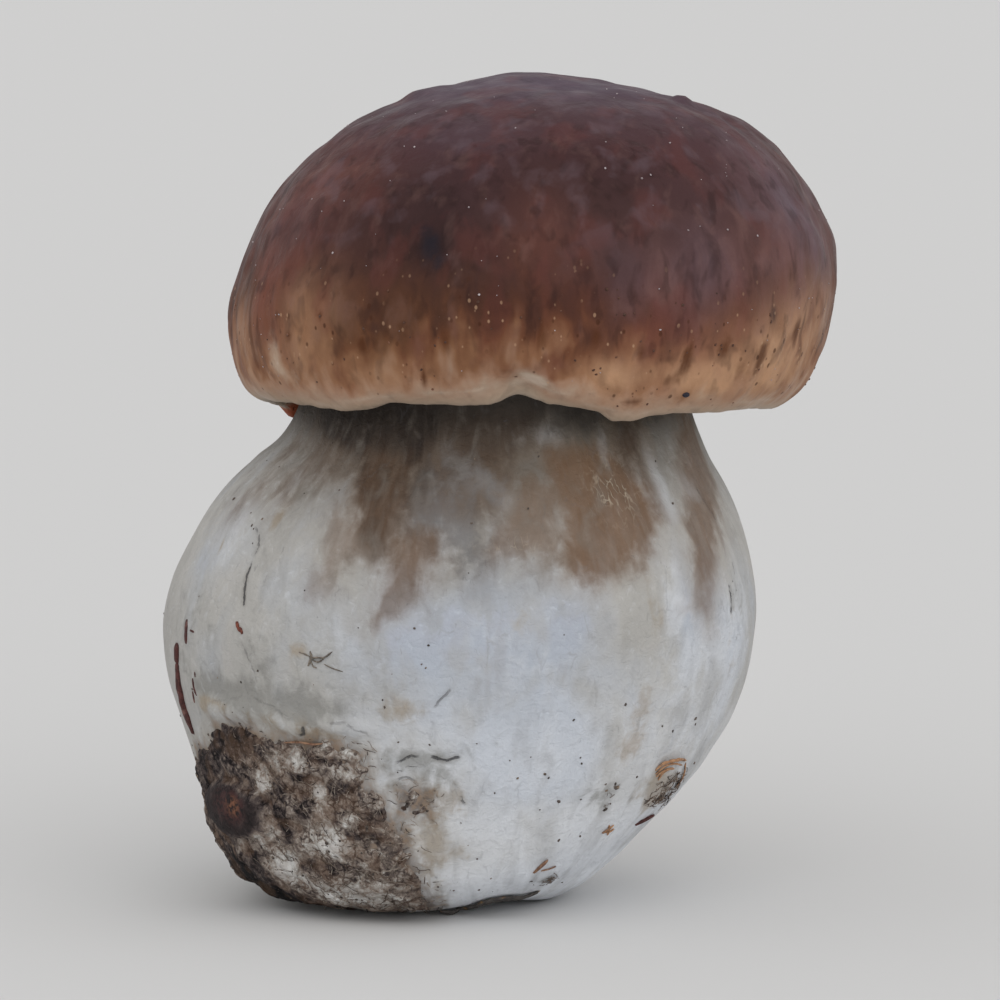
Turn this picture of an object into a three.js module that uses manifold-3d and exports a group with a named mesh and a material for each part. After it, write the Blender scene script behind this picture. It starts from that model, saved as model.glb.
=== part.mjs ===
// A young cep, Boletus edulis, as picked: one fruiting body, standing on the small flat spot of its
// foot, with the crust of earth and the scraps of forest litter that cling to its stem.
// Millimetres. +Z is up, +X is to the right and +Y to the back when it is seen from the front.
// The origin is the middle of the flat spot that it rests on. Azimuths are degrees round a vertical
// axis, 0 at the right, 90 at the back and 270 at the front.
import * as THREE from "three";
import { ParametricGeometry } from "three/addons/geometries/ParametricGeometry.js";
import { mergeVertices } from "three/addons/utils/BufferGeometryUtils.js";
import Module from "manifold-3d";

const { degToRad, euclideanModulo, lerp, radToDeg, smoothstep } = THREE.MathUtils;
const fullTurn = 2 * Math.PI;

// Driving dimensions.
const height = 117.4; // floor to crown
const crownX = 11; // the cap grows off to the right of the foot
const stemDepth = 0.95; // the stem's depth over its width
const capDepth = 0.96; // the cap's depth over its width
const stemLeanBack = 3; // how far back the swollen middle of the stem sits
const capLeanBack = 4.5; // the same for the cap's rim
const capTilt = degToRad(5.2); // the cap is tipped back, so its front edge rides high
const soleLift = { at: 300, width: 30, lift: 1.5 }; // where the sole curls up off the floor, in degrees
const clearance = 0.3; // between the skin and whatever clings to it

// How finely the skin is drawn.
const facetsAround = 72;
const facetsAlong = 52;

// The outline, from the foot's flat spot up the stem, out under the cap and over it to the crown:
// [x, z] where it crosses the plane y = 0 on either side.
const outline = [
  { left: [-13, 0], right: [14.5, 0] }, // edge of the flat spot
  { left: [-22.6, 0.9], right: [18.6, 1.8] },
  { left: [-28.8, 3.7], right: [23.2, 5.4] }, // the foot turns up
  { left: [-33, 9.6], right: [28.6, 10.6] },
  { left: [-35.1, 17.4], right: [35, 17.2] },
  { left: [-37.6, 25.4], right: [40.3, 25.2] },
  { left: [-39.8, 33.5], right: [43.5, 34] },
  { left: [-40, 41.5], right: [44.4, 42.5] }, // widest part of the stem
  { left: [-37.4, 49], right: [43, 50] },
  { left: [-33.4, 56], right: [40.6, 56.6] },
  { left: [-28, 61.8], right: [38, 62] },
  { left: [-22.8, 66.6], right: [35.6, 67.2] },
  { left: [-20.6, 73.6], right: [34.2, 73.4] }, // the neck meets the pores
  { left: [-22, 74.4], right: [38.6, 74] }, // pore layer
  { left: [-23.5, 71.8], right: [42.8, 70.9] }, // inner lip of the rim
  { left: [-25.6, 70.8], right: [46.2, 69.6] }, // lowest edge of the rim
  { left: [-28.4, 72.4], right: [50.4, 72.4] },
  { left: [-30.2, 76.4], right: [53, 77] },
  { left: [-30.8, 83.8], right: [55.3, 85] }, // widest part of the cap
  { left: [-28.2, 92.4], right: [55.4, 93] },
  { left: [-24.9, 99.2], right: [52.2, 100] },
  { left: [-19.7, 105], right: [48, 106] },
  { left: [-11.6, 111], right: [42, 110.6] },
  { left: [-1.5, 115], right: [28.5, 114.8] },
  { left: [6, 116.9], right: [18, 116.8] },
];
const neckTop = 12; // which of these points ends the stem
const rimBottom = 15; // and which is the lowest edge of the rim

// Waves of the rim's lower edge: where they are, how wide, in degrees, and how far they lift it.
const rimWaves = [
  { at: 266, width: 14, lift: 0.3 },
  { at: 268.5, width: 5, lift: 2.5 }, // the notch in front
  { at: 291, width: 11, lift: -1.5 }, // and the fold that hangs beside it
  { at: 231, width: 12, lift: -1 },
  { at: 318, width: 10, lift: -0.6 },
  { at: 20, width: 18, lift: 0.9 },
  { at: 100, width: 20, lift: 0.9 },
  { at: 146, width: 17, lift: -1.3 },
];

// Earth that clings to the foot: the corners of each patch, as [azimuth, z], and how thick it is.
const earthPatches = {
  earth_crust: {
    corners: [
      [191, 20.5], [200, 24], [212, 28.6], [226, 29.5], [237, 27.5], [246, 28.4], [252, 26.5], [251, 22],
      [255, 17.5], [260, 13.5], [262, 9], [260, 4], [245, 2.8], [228, 3.2], [212, 4.6], [202, 8.5],
      [195, 12.5], [190, 17],
    ],
    thickness: 1.1,
    lumps: 0.4,
    facets: [48, 20],
  },
  earth_patch: {
    corners: [[258.5, 20.5], [263, 21.8], [267.5, 20], [266.5, 16.5], [262, 15.2], [258.8, 17.2]],
    thickness: 0.5,
    lumps: 0.3,
    facets: [24, 10],
  },
};

// Scraps of litter. Each is a thin sliver that lies on the skin, turned anticlockwise from level as
// seen from outside. The ends may curl up off the skin by some millimetres.
const bark = 0x4a2522;
const deadLeaf = 0xa8683a;
const straw = 0xb98a5c;
const litter = {
  bark_strip: { azimuth: 194.6, z: 32, length: 12.6, width: 1.1, turn: 111, thickness: 0.5, colour: bark },
  bark_sliver: { azimuth: 327, z: 13.2, length: 2.8, width: 0.8, turn: 30, thickness: 0.4, colour: bark },
  bark_fleck: { azimuth: 221.4, z: 41.7, length: 1.9, width: 0.9, turn: 117, thickness: 0.4, colour: bark },
  leaf_curl: {
    azimuth: 321.5, z: 22.4, length: 4.6, width: 1.5, turn: 32, thickness: 0.35, curl: 0.9, colour: deadLeaf,
  },
  leaf_chip: { azimuth: 312.7, z: 13.1, length: 2, width: 0.8, turn: 42, thickness: 0.35, colour: deadLeaf },
  foot_needle: { azimuth: 295, z: 8.3, length: 3.3, width: 0.55, turn: 50, thickness: 0.5, colour: straw },
  earth_needle: { azimuth: 236.5, z: 26.8, length: 4.5, width: 0.6, turn: -2, thickness: 0.5, colour: straw },
};
const litterFacets = [16, 8];

// A forked twig, thickest where its prong leaves it.
const twiglet = [
  { azimuth: 243.5, z: 38.9, length: 6, width: 0.8, turn: 3, thickness: 0.5 },
  { azimuth: 241, z: 38, length: 3.4, width: 0.7, turn: 66, thickness: 0.45 },
];

const wasm = await Module();
wasm.setup();

function material(color, roughness) {
  return new THREE.MeshStandardMaterial({ color, roughness, metalness: 0 });
}

function namedMesh(name, geometry, finish) {
  const mesh = new THREE.Mesh(geometry, finish);
  mesh.name = name;
  return mesh;
}

// The fruiting body: cap, pore layer and stem are one skin, drawn as rings from the foot to the crown.

function rail(points) {
  const path = points.map(([x, z]) => new THREE.Vector3(x, 0, z));
  return new THREE.CatmullRomCurve3(path, false, "centripetal");
}

const leftRail = rail([[0, 0], ...outline.map(({ left }) => left), [crownX, height]]);
const rightRail = rail([[0, 0], ...outline.map(({ right }) => right), [crownX, height]]);
// Half the outline's width against its mean height. Its length spaces the rings evenly.
const halfWidths = outline.map(({ left, right }) => [(right[0] - left[0]) / 2, (right[1] + left[1]) / 2]);
const spacingRail = rail([[0, 0], ...halfWidths, [0, height]]);

const spans = outline.length + 1;
const parameterOf = (station) => (station + 1) / spans;

// Share of the cap in a ring: 0 on the stem, 1 from the inner lip of the rim upwards.
function capShare(t) {
  return smoothstep(t, parameterOf(neckTop - 0.5), parameterOf(neckTop + 2));
}

// How far a wave of an edge lifts it at an azimuth.
function waveLift(angle, { at, width, lift }) {
  const degreesAway = euclideanModulo(radToDeg(angle) - at + 180, 360) - 180;
  return lift * Math.exp(-((degreesAway / width) ** 2));
}

function rimLift(angle, t) {
  const ringsAway = (t - parameterOf(rimBottom)) * spans;
  const lift = rimWaves.reduce((sum, wave) => sum + waveLift(angle, wave), 0);
  return lift * Math.exp(-(ringsAway ** 2) / 2.5);
}

// The inner half of the flat spot stays flat, and the curl fades out where the foot turns up.
function soleCurl(angle, t) {
  const rings = t * spans;
  return waveLift(angle, soleLift) * smoothstep(rings, 0.5, 1) * (1 - smoothstep(rings, 2, 4));
}

// Slow swellings, as a share of the radius, that keep the rings from being perfect ellipses.
function swelling(angle, t) {
  const stem = 0.012 * Math.sin(3 * angle + 0.6) + 0.008 * Math.sin(5 * angle + 2.2 + 9 * t);
  const cap = 0.012 * Math.sin(2 * angle + 1.1) + 0.01 * Math.sin(4 * angle + 0.4 + 6 * t);
  return lerp(stem, cap, capShare(t));
}

function skinPoint(angle, t) {
  const left = leftRail.getPoint(t);
  const right = rightRail.getPoint(t);
  const share = capShare(t);
  const ringsAboveFlat = Math.max(0, t * spans - 1);
  const radius = ((right.x - left.x) / 2) * (1 + swelling(angle, t) * Math.min(1, ringsAboveFlat));
  const middle = left.clone().add(right).divideScalar(2);
  const slope = (right.z - left.z) / 2;
  const point = new THREE.Vector3(
    middle.x + radius * Math.cos(angle),
    radius * lerp(stemDepth, capDepth, share) * Math.sin(angle),
    (ringsAboveFlat > 1e-6 ? middle.z + slope * Math.cos(angle) : 0) + soleCurl(angle, t),
  );
  // Tip the cap back about the rim.
  const rimHeight = outline[rimBottom].left[1];
  point.z -= rimHeight;
  point.applyAxisAngle(new THREE.Vector3(1, 0, 0), -capTilt * share);
  point.z += rimHeight + rimLift(angle, t);
  point.y += lerp(stemLeanBack * smoothstep(middle.z, 0, 30), capLeanBack, share);
  return point;
}

function mushroomGeometry() {
  const place = (u, v, target) => {
    const atPole = v === 0 || v === 1;
    const t = atPole ? v : spacingRail.getUtoTmapping(v);
    target.copy(skinPoint(u === 1 ? 0 : u * fullTurn, t));
  };
  return new ParametricGeometry(place, facetsAround, facetsAlong);
}

// What clings to it. Every such body is a cushion: an outline of [azimuth, z] points on its host, clockwise
// as seen from outside, filled in by shrinking it towards its middle and kept clear of the host.

const stemAxis = new THREE.Vector3(2, 3, 0);
const ray = new THREE.Raycaster();

// Where a level ray aimed at the stem's axis meets the host.
function surfaceAt(host, azimuth, z) {
  const outwards = new THREE.Vector3(1, 0, 0).applyAxisAngle(new THREE.Vector3(0, 0, 1), degToRad(azimuth));
  const start = stemAxis.clone().setZ(z).addScaledVector(outwards, 100);
  ray.set(start, outwards.negate());
  return ray.intersectObject(host)[0];
}

function cushionGeometry(host, { edge, middle, thickness, lumps = 0, curl = 0, facets }) {
  const place = (u, v, target) => {
    const angle = u === 1 ? 0 : u * fullTurn;
    const reach = v === 0 || v === 1 ? 0 : 1 - Math.abs(2 * v - 1); // 0 in the middle, 1 at the edge
    const spot = middle.clone().lerp(edge(angle), reach);
    const hit = surfaceAt(host, spot.x, spot.y);
    const lump = 1 + lumps * Math.sin(3 * angle + 8 * reach) * Math.sin(5 * angle + 1.3) * reach;
    const filling = v < 0.5 ? thickness * lump * Math.sqrt(1 - reach ** 3) : 0;
    const lift = curl * (reach * Math.cos(angle)) ** 2;
    target.copy(hit.point).addScaledVector(hit.normal, clearance + lift + filling);
  };
  return new ParametricGeometry(place, ...facets);
}

function earthGeometry(host, { corners, ...shape }) {
  const points = corners.map(([azimuth, z]) => new THREE.Vector2(azimuth, z));
  const middle = points.reduce((sum, point) => sum.add(point), new THREE.Vector2());
  middle.divideScalar(points.length);
  const ring = new THREE.CatmullRomCurve3(points.map(({ x, y }) => new THREE.Vector3(x, y, 0)), true);
  const edge = (angle) => {
    const { x, y } = ring.getPoint(angle / fullTurn);
    return new THREE.Vector2(x, y);
  };
  return cushionGeometry(host, { edge, middle, ...shape });
}

// A sliver with blunt ends, laid out in millimetres and wrapped round the stem.
function sliverGeometry(host, { azimuth, z, length, width, turn, ...shape }) {
  const radius = surfaceAt(host, azimuth, z).point.setZ(0).distanceTo(stemAxis);
  const blunt = (value) => Math.sign(value) * Math.abs(value) ** 0.7;
  const edge = (angle) => {
    const point = new THREE.Vector2(blunt(Math.cos(angle)) * length, -blunt(Math.sin(angle)) * width);
    point.divideScalar(2).rotateAround(new THREE.Vector2(), degToRad(turn));
    return new THREE.Vector2(azimuth + radToDeg(point.x / radius), z + point.y);
  };
  const middle = new THREE.Vector2(azimuth, z);
  return cushionGeometry(host, { edge, middle, facets: litterFacets, ...shape });
}

function solidOf(geometry) {
  geometry.deleteAttribute("normal");
  geometry.deleteAttribute("uv");
  const { attributes, index } = mergeVertices(geometry, 1e-3);
  return new wasm.Manifold(
    new wasm.Mesh({
      numProp: 3,
      vertProperties: attributes.position.array,
      triVerts: new Uint32Array(index.array),
    }),
  );
}

function joined(geometries) {
  const mesh = geometries.map(solidOf).reduce((whole, solid) => whole.add(solid)).getMesh();
  const geometry = new THREE.BufferGeometry();
  geometry.setAttribute("position", new THREE.BufferAttribute(mesh.vertProperties, 3));
  geometry.setIndex(new THREE.BufferAttribute(mesh.triVerts, 1));
  geometry.computeVertexNormals();
  return geometry;
}

const mushroom = namedMesh("mushroom", mushroomGeometry(), material(0x9a8676, 0.6));
const cep = new THREE.Group().add(mushroom);

for (const [name, shape] of Object.entries(earthPatches)) {
  cep.add(namedMesh(name, earthGeometry(mushroom, shape), material(0x3c2f26, 0.95)));
}
const crust = cep.getObjectByName("earth_crust");
for (const [name, { colour, ...shape }] of Object.entries(litter)) {
  const host = name === "earth_needle" ? crust : mushroom;
  cep.add(namedMesh(name, sliverGeometry(host, shape), material(colour, 0.8)));
}
const twigletGeometry = joined(twiglet.map((shape) => sliverGeometry(mushroom, shape)));
cep.add(namedMesh("twiglet", twigletGeometry, material(0x8c8270, 0.85)));

export default cep;
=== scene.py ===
import math

import bmesh
import bpy
import numpy as np
from mathutils import Matrix, Vector, noise
from mathutils.bvhtree import BVHTree


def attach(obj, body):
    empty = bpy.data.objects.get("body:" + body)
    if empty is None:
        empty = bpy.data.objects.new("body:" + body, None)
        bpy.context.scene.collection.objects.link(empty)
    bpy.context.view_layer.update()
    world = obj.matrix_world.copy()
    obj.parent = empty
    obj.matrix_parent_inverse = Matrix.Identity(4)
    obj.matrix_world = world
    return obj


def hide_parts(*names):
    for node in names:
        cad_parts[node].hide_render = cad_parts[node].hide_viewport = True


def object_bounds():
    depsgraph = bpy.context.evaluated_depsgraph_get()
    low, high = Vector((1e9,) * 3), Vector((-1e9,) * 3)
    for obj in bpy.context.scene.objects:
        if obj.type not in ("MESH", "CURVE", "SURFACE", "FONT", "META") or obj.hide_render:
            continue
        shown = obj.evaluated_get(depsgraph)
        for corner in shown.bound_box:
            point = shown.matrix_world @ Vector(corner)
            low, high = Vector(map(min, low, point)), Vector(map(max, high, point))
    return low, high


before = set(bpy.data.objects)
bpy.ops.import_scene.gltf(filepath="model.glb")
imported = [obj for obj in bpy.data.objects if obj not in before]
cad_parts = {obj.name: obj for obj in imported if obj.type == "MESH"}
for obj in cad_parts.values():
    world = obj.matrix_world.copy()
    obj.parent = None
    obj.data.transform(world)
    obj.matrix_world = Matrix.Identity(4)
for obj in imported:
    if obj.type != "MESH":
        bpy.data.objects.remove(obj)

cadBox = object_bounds()
scene = bpy.context.scene
mm = 0.001

# camera, floor and lights

shot = {
    "distance": 0.9,
    "elevation": 6.5,  # degrees above level
    "lens": 228,
    "aimBelowMiddle": 0.0016,
}
studio = {
    "floorSize": 30,
    "floorColour": "#d2d2d2",
    "skyStrength": 0.8,
    "horizonColour": "#ededed",
    "zenithColour": "#fffefd",
    "lamps": {  # strength, degrees across, degrees right of the camera, degrees up
        "key": (0.62, 70, 14, 42),
        "fill": (0.3, 70, -4, 12),
        "right": (0.43, 80, 66, 8),
        "left": (0.26, 80, -72, 12),
    },
}


def paint(code):
    # a colour as a picture editor shows it, made linear
    values = [int(code[k:k + 2], 16) / 255 for k in (1, 3, 5)]
    return [v / 12.92 if v <= 0.04045 else ((v + 0.055) / 1.055) ** 2.4 for v in values] + [1]


class Wire:
    # what a node gives, to be reckoned with like a number

    def __init__(self, socket):
        self.socket = socket

    def __add__(self, other):
        return calc("ADD", self, other)

    def __sub__(self, other):
        return calc("SUBTRACT", self, other)

    def __rsub__(self, other):
        return calc("SUBTRACT", other, self)

    def __mul__(self, other):
        return calc("MULTIPLY", self, other)

    def __abs__(self):
        return calc("ABSOLUTE", self)

    def clamped(self):
        self.socket.node.use_clamp = True
        return self


def addNode(tree, kind, settings=None, inputs=None):
    made = tree.nodes.new(kind)
    for name, value in (settings or {}).items():
        setattr(made, name, value)
    for name, value in (inputs or {}).items():
        if isinstance(value, Wire):
            tree.links.new(value.socket, made.inputs[name])
        elif value is not None:
            made.inputs[name].default_value = value
    return made


def wired(kind, settings, inputs, output=0):
    # a node in the tree that its wires come from
    tree = next(value.socket.id_data for value in inputs.values() if isinstance(value, Wire))
    return Wire(addNode(tree, kind, settings, inputs).outputs[output])


def calc(operation, a, b=None):
    return wired("ShaderNodeMath", {"operation": operation}, {0: a, 1: b})


def addCamera():
    low, high = cadBox
    aim = (Vector(low) + Vector(high)) / 2 - Vector((0, 0, shot["aimBelowMiddle"]))
    aim.y = 0
    slope = math.radians(shot["elevation"])
    away = Vector((0, -math.cos(slope), math.sin(slope)))
    camera = bpy.data.objects.new("camera", bpy.data.cameras.new("camera"))
    scene.collection.objects.link(camera)
    camera.location = aim + away * shot["distance"]
    camera.rotation_euler = away.to_track_quat("Z", "Y").to_euler()
    camera.data.lens = shot["lens"]
    camera.data.clip_start = 0.01
    scene.camera = camera


def addFloor():
    mesh = bpy.data.meshes.new("floor")
    half = studio["floorSize"] / 2
    corners = [(-half, -half, 0), (half, -half, 0), (half, half, 0), (-half, half, 0)]
    mesh.from_pydata(corners, [], [(0, 1, 2, 3)])
    finish = bpy.data.materials.new("studioFloor")
    finish.use_nodes = True
    shader = finish.node_tree.nodes["Principled BSDF"]
    shader.inputs["Base Color"].default_value = paint(studio["floorColour"])
    shader.inputs["Roughness"].default_value = 1
    shader.inputs["Specular IOR Level"].default_value = 0
    mesh.materials.append(finish)
    floor = bpy.data.objects.new("floor", mesh)
    scene.collection.objects.link(floor)


def addLight():
    world = bpy.data.worlds.new("studio")
    world.use_nodes = True
    tree = world.node_tree
    tree.nodes.clear()
    place = Wire(addNode(tree, "ShaderNodeTexCoord").outputs["Generated"])
    sky = wired("ShaderNodeMix", {"data_type": "RGBA"}, {
        0: wired("ShaderNodeSeparateXYZ", None, {0: place}, "Z"),
        6: paint(studio["horizonColour"]),
        7: paint(studio["zenithColour"]),
    }, 2)
    light = wired("ShaderNodeBackground", None, {"Color": sky, "Strength": studio["skyStrength"]})
    addNode(tree, "ShaderNodeOutputWorld", None, {"Surface": light})
    scene.world = world

    for name, (strength, across, turn, rise) in studio["lamps"].items():
        lamp = bpy.data.lights.new(name, "SUN")
        lamp.energy = strength
        lamp.angle = math.radians(across)
        turn, rise = math.radians(turn), math.radians(rise)
        level = math.cos(rise)
        towards = Vector((math.sin(turn) * level, -math.cos(turn) * level, math.sin(rise)))
        sun = bpy.data.objects.new(name, lamp)
        sun.rotation_euler = towards.to_track_quat("Z", "Y").to_euler()
        scene.collection.objects.link(sun)


scene.view_settings.view_transform = "Standard"
addCamera()
addFloor()
addLight()
print("camera, floor and light are in place")

# the skin, read from the carried-over body as rings of points and drawn again much finer

skin = {
    "radius": 38,  # mm, about, of stem and cap
    "mmPerDegree": 0.62,  # round the stem
    "rings": 264,
    "columns": 360,
    "frontCrowding": 0.35,  # share by which the columns crowd together in front
    "soleShare": 0.35,  # of the usual number of rings
    "undersideShare": 0.55,
    "stemAxis": (2, 3),  # mm
    "capAxis": (12, 4.5),
}


def readRings(node):
    # point [ring, column], in mm, from the pole under the foot to the pole of the crown
    mesh = bmesh.new()
    mesh.from_mesh(node.data)
    bmesh.ops.remove_doubles(mesh, verts=mesh.verts, dist=1e-5)
    front = [min(mesh.verts, key=lambda v: v.co.length)]
    seen = set(front)
    rings = []
    while front:
        rings.append(np.array([v.co for v in front]) / mm)
        front = list({e.other_vert(v) for v in front for e in v.link_edges} - seen)
        seen.update(front)
    mesh.free()
    columns = len(rings[1])
    table = []
    for ring in rings:
        if len(ring) == 1:
            table.append(np.repeat(ring, columns, axis=0))
            continue
        gap = ring - ring.mean(axis=0)
        turn = (np.degrees(np.arctan2(gap[:, 1], gap[:, 0])) + 180 / columns) % 360
        table.append(ring[np.argsort(turn)])
    return np.array(table)


coarse = readRings(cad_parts["mushroom"])
coarseRings, coarseColumns = coarse.shape[:2]


def cubicWeights(t):
    return np.stack([
        -0.5 * t + t ** 2 - 0.5 * t ** 3,
        1 - 2.5 * t ** 2 + 1.5 * t ** 3,
        0.5 * t + 2 * t ** 2 - 1.5 * t ** 3,
        -0.5 * t ** 2 + 0.5 * t ** 3,
    ])


def skinAt(ring, column):
    # the skin between the rings and columns that were read, with the poles crossed smoothly
    ring, column = np.broadcast_arrays(np.asarray(ring, float), np.asarray(column, float))
    ringBase = np.clip(np.floor(ring).astype(int), 0, coarseRings - 2)
    columnBase = np.floor(column).astype(int)
    alongRing = cubicWeights(ring - ringBase)
    alongColumn = cubicWeights(column - columnBase)
    half = coarseColumns // 2
    total = np.zeros(ring.shape + (3,))
    for i in range(4):
        r = ringBase + i - 1
        under, over = r < 0, r > coarseRings - 1
        r = np.where(under, -r, np.where(over, 2 * (coarseRings - 1) - r, r))
        turned = np.where(under | over, half, 0)
        for j in range(4):
            c = (columnBase + j - 1 + turned) % coarseColumns
            total += (alongRing[i] * alongColumn[j])[..., None] * coarse[r, c]
    return total


def azimuthOf(points, axis):
    return np.degrees(np.arctan2(points[..., 1] - axis[1], points[..., 0] - axis[0])) % 360


def smooth(value, low, high):
    t = np.clip((value - low) / (high - low), 0, 1)
    return t * t * (3 - 2 * t)


# where the stem ends and where the rim hangs lowest, as rings of the coarse skin
fineRings = np.linspace(0, coarseRings - 1, 1 + (coarseRings - 1) * 8)
fineHeights = skinAt(fineRings[:, None], np.arange(coarseColumns)[None, :])[..., 2]
meanHeight = fineHeights.mean(axis=1)
neckRing = next(k for k in range(40, len(meanHeight)) if meanHeight[k] > meanHeight[k + 1])
rimRing = next(k for k in range(neckRing, len(meanHeight)) if meanHeight[k] < meanHeight[k + 1])
neckTop, rimBottom = fineRings[neckRing], fineRings[rimRing]


def spreadRings(count):
    # rings an even way apart up the skin, sparser on the sole and up under the cap
    samples = skinAt(fineRings[:, None], np.arange(0, coarseColumns, 6)[None, :])
    steps = np.linalg.norm(np.diff(samples, axis=0), axis=2).mean(axis=1)
    middle = (fineRings[1:] + fineRings[:-1]) / 2
    weight = np.where(middle < 1.5, skin["soleShare"], 1)
    weight = np.where((middle > neckTop - 1) & (middle < rimBottom - 1), skin["undersideShare"], weight)
    way = np.concatenate([[0], np.cumsum(steps * weight)])
    return np.interp(np.linspace(0, way[-1], count), way, fineRings)


ringAt = spreadRings(skin["rings"])
turns = np.arange(skin["columns"]) * 2 * math.pi / skin["columns"]
crowded = turns - skin["frontCrowding"] * np.sin(turns - math.radians(270))
columnAt = crowded / (2 * math.pi) * coarseColumns
grid = skinAt(ringAt[:, None], columnAt[None, :])
grid[..., 2] = np.maximum(grid[..., 2], 0)
grid[ringAt <= 0.5] *= (1, 1, 0)


def normalised(vectors):
    return vectors / np.maximum(np.linalg.norm(vectors, axis=-1, keepdims=True), 1e-9)


def gridFrames(points):
    # for each point of a closed grid: the way round, the way up the skin and the way out
    around = normalised(np.roll(points, -1, axis=1) - np.roll(points, 1, axis=1))
    up = np.gradient(points, axis=0)
    out = normalised(np.cross(around, up))
    up = normalised(np.cross(out, around))
    return around, up, out


aroundWay, upWay, outWay = gridFrames(grid)
steps = np.linalg.norm(np.diff(grid, axis=0, prepend=grid[:1]), axis=2)
climb = np.cumsum(steps, axis=0)  # mm up the skin from the middle of the sole
onStem = np.broadcast_to((ringAt < neckTop)[:, None], climb.shape)
onCap = np.broadcast_to((ringAt > rimBottom - 1)[:, None], climb.shape)
nearRim = (ringAt > neckTop) & (ringAt < rimBottom + 4)
lowest = np.argmin(np.where(nearRim[:, None], grid[..., 2], 999), axis=0)
rimClimb = climb - climb[lowest, np.arange(skin["columns"])]  # mm from the rim's lowest edge
neckDrop = climb[np.argmin(np.abs(ringAt - neckTop))] - climb  # mm below the top of the stem
stemTurn = azimuthOf(grid, skin["stemAxis"])
capTurn = azimuthOf(grid, skin["capAxis"])
farOff = -20  # mm inside a mark, for what is nowhere near one
markDepth = {"hard": 6, "soft": 9}  # mm in and out of the skin that a mark reaches


def spotOnSkin(azimuth, z, cap=False):
    turn = capTurn if cap else stemTurn
    allowed = (rimClimb > 0) & onCap if cap else onStem
    gap = (turn - azimuth + 180) % 360 - 180
    score = (gap * 0.6) ** 2 + (grid[..., 2] - z) ** 2 + np.where(allowed, 0, 1e6)
    row, column = np.unravel_index(np.argmin(score), score.shape)
    return grid[row, column], aroundWay[row, column], upWay[row, column], outWay[row, column]


def markField(marks, cap=False):
    # how deep each point of the skin lies inside the nearest mark, in mm, below 0 outside all of them
    field = np.full(climb.shape, float(farOff))
    weights = np.zeros(climb.shape)
    for azimuth, z, across, along, turn, *weight in marks:
        centre, rightwards, upwards, outwards = spotOnSkin(azimuth, z, cap)
        gap = grid - centre
        u, v, w = gap @ rightwards, gap @ upwards, gap @ outwards
        c, s = math.cos(math.radians(turn)), math.sin(math.radians(turn))
        flat = ((u * c + v * s) / across) ** 2 + ((v * c - u * s) / along) ** 2
        reach = np.sqrt(flat + (w / markDepth["hard"]) ** 2)
        inside = (1 - reach) * min(across, along)
        better = inside > field
        field = np.where(better, inside, field)
        if weight:
            pull = np.exp(-(np.maximum(reach - 0.6, 0) * 1.5) ** 2)
            weights = np.maximum(weights, pull * weight[0])
    return field, weights


def insidePatch(azimuth, z, corners):
    # mm inside the outline, below 0 outside it
    x = np.asarray(azimuth) * skin["mmPerDegree"]
    y = np.asarray(z)
    points = [(a * skin["mmPerDegree"], b) for a, b in corners]
    nearest = np.full(np.shape(x), 1e9)
    crossings = np.zeros(np.shape(x), int)
    for (ax, ay), (bx, by) in zip(points, points[1:] + points[:1]):
        t = np.clip(((x - ax) * (bx - ax) + (y - ay) * (by - ay)) / ((bx - ax) ** 2 + (by - ay) ** 2), 0, 1)
        nearest = np.minimum(nearest, np.hypot(x - ax - t * (bx - ax), y - ay - t * (by - ay)))
        crosses = (ay > y) != (by > y)
        with np.errstate(divide="ignore", invalid="ignore"):
            crossings += crosses & (x < (bx - ax) * (y - ay) / (by - ay) + ax)
    return np.where(crossings % 2 == 1, nearest, -nearest)


def softField(marks, cap=False):
    # 0 to about 1, thick at the middle of each mark and thinning out
    field = np.zeros(climb.shape)
    for azimuth, z, across, along, strength in marks:
        centre, rightwards, upwards, outwards = spotOnSkin(azimuth, z, cap)
        gap = grid - centre
        reach = (gap @ rightwards / across) ** 2 + (gap @ upwards / along) ** 2
        field += strength * np.exp(-reach - (gap @ outwards / markDepth["soft"]) ** 2)
    return np.clip(field, 0, 1.2)


def patchField(patches):
    # mm inside the nearest outline, and how strong and how dark the patches near by are
    deep = np.full(climb.shape, float(farOff))
    strength, dark, total = (np.zeros(climb.shape) for _ in range(3))
    for weight, tone, corners in patches:
        inside = np.where(onStem, insidePatch(stemTurn, grid[..., 2], corners), farOff)
        pull = np.exp(np.clip(inside, -8, 5))
        deep = np.maximum(deep, inside)
        strength += pull * weight
        dark += pull * tone
        total += pull
    return deep, strength / total, dark / total


crackShape = {
    "farOff": 3.0,  # mm across, for what is nowhere near one
    "taper": 4,  # how fast it opens from its ends
    "endWidth": 0.15,
    "sideFade": (1.2, 2.2),  # mm from the line
    "endFade": (0.1, 0.8),  # mm past the end
}


def crackField(cracks):
    # signed way across the nearest crack, in mm, and how open it is there
    across = np.full(climb.shape, crackShape["farOff"])
    opening = np.zeros(climb.shape)
    for width, corners in cracks:
        spots = [spotOnSkin(azimuth, z) for azimuth, z in corners]
        lengths = [np.linalg.norm(b[0] - a[0]) for a, b in zip(spots, spots[1:])]
        total, done = sum(lengths), 0
        for (start, *_), (end, _, _, out), length in zip(spots, spots[1:], lengths):
            way = (end - start) / max(length, 1e-6)
            side = np.cross(out, way)
            gap = grid - start
            along = np.clip(gap @ way, 0, length)
            distance = np.linalg.norm(gap - along[..., None] * way, axis=2)
            share = (done + along) / total
            taper = crackShape["taper"] * np.minimum(share, 1 - share) + crackShape["endWidth"]
            closer = distance < np.abs(across)
            across = np.where(closer, np.sign(gap @ side) * distance, across)
            beyond = np.abs(gap @ way - along)
            gape = width * np.minimum(1, taper) * (1 - smooth(distance, *crackShape["sideFade"]))
            opening = np.where(closer, gape * (1 - smooth(beyond, *crackShape["endFade"])), opening)
            done += length
    return across, opening


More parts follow.
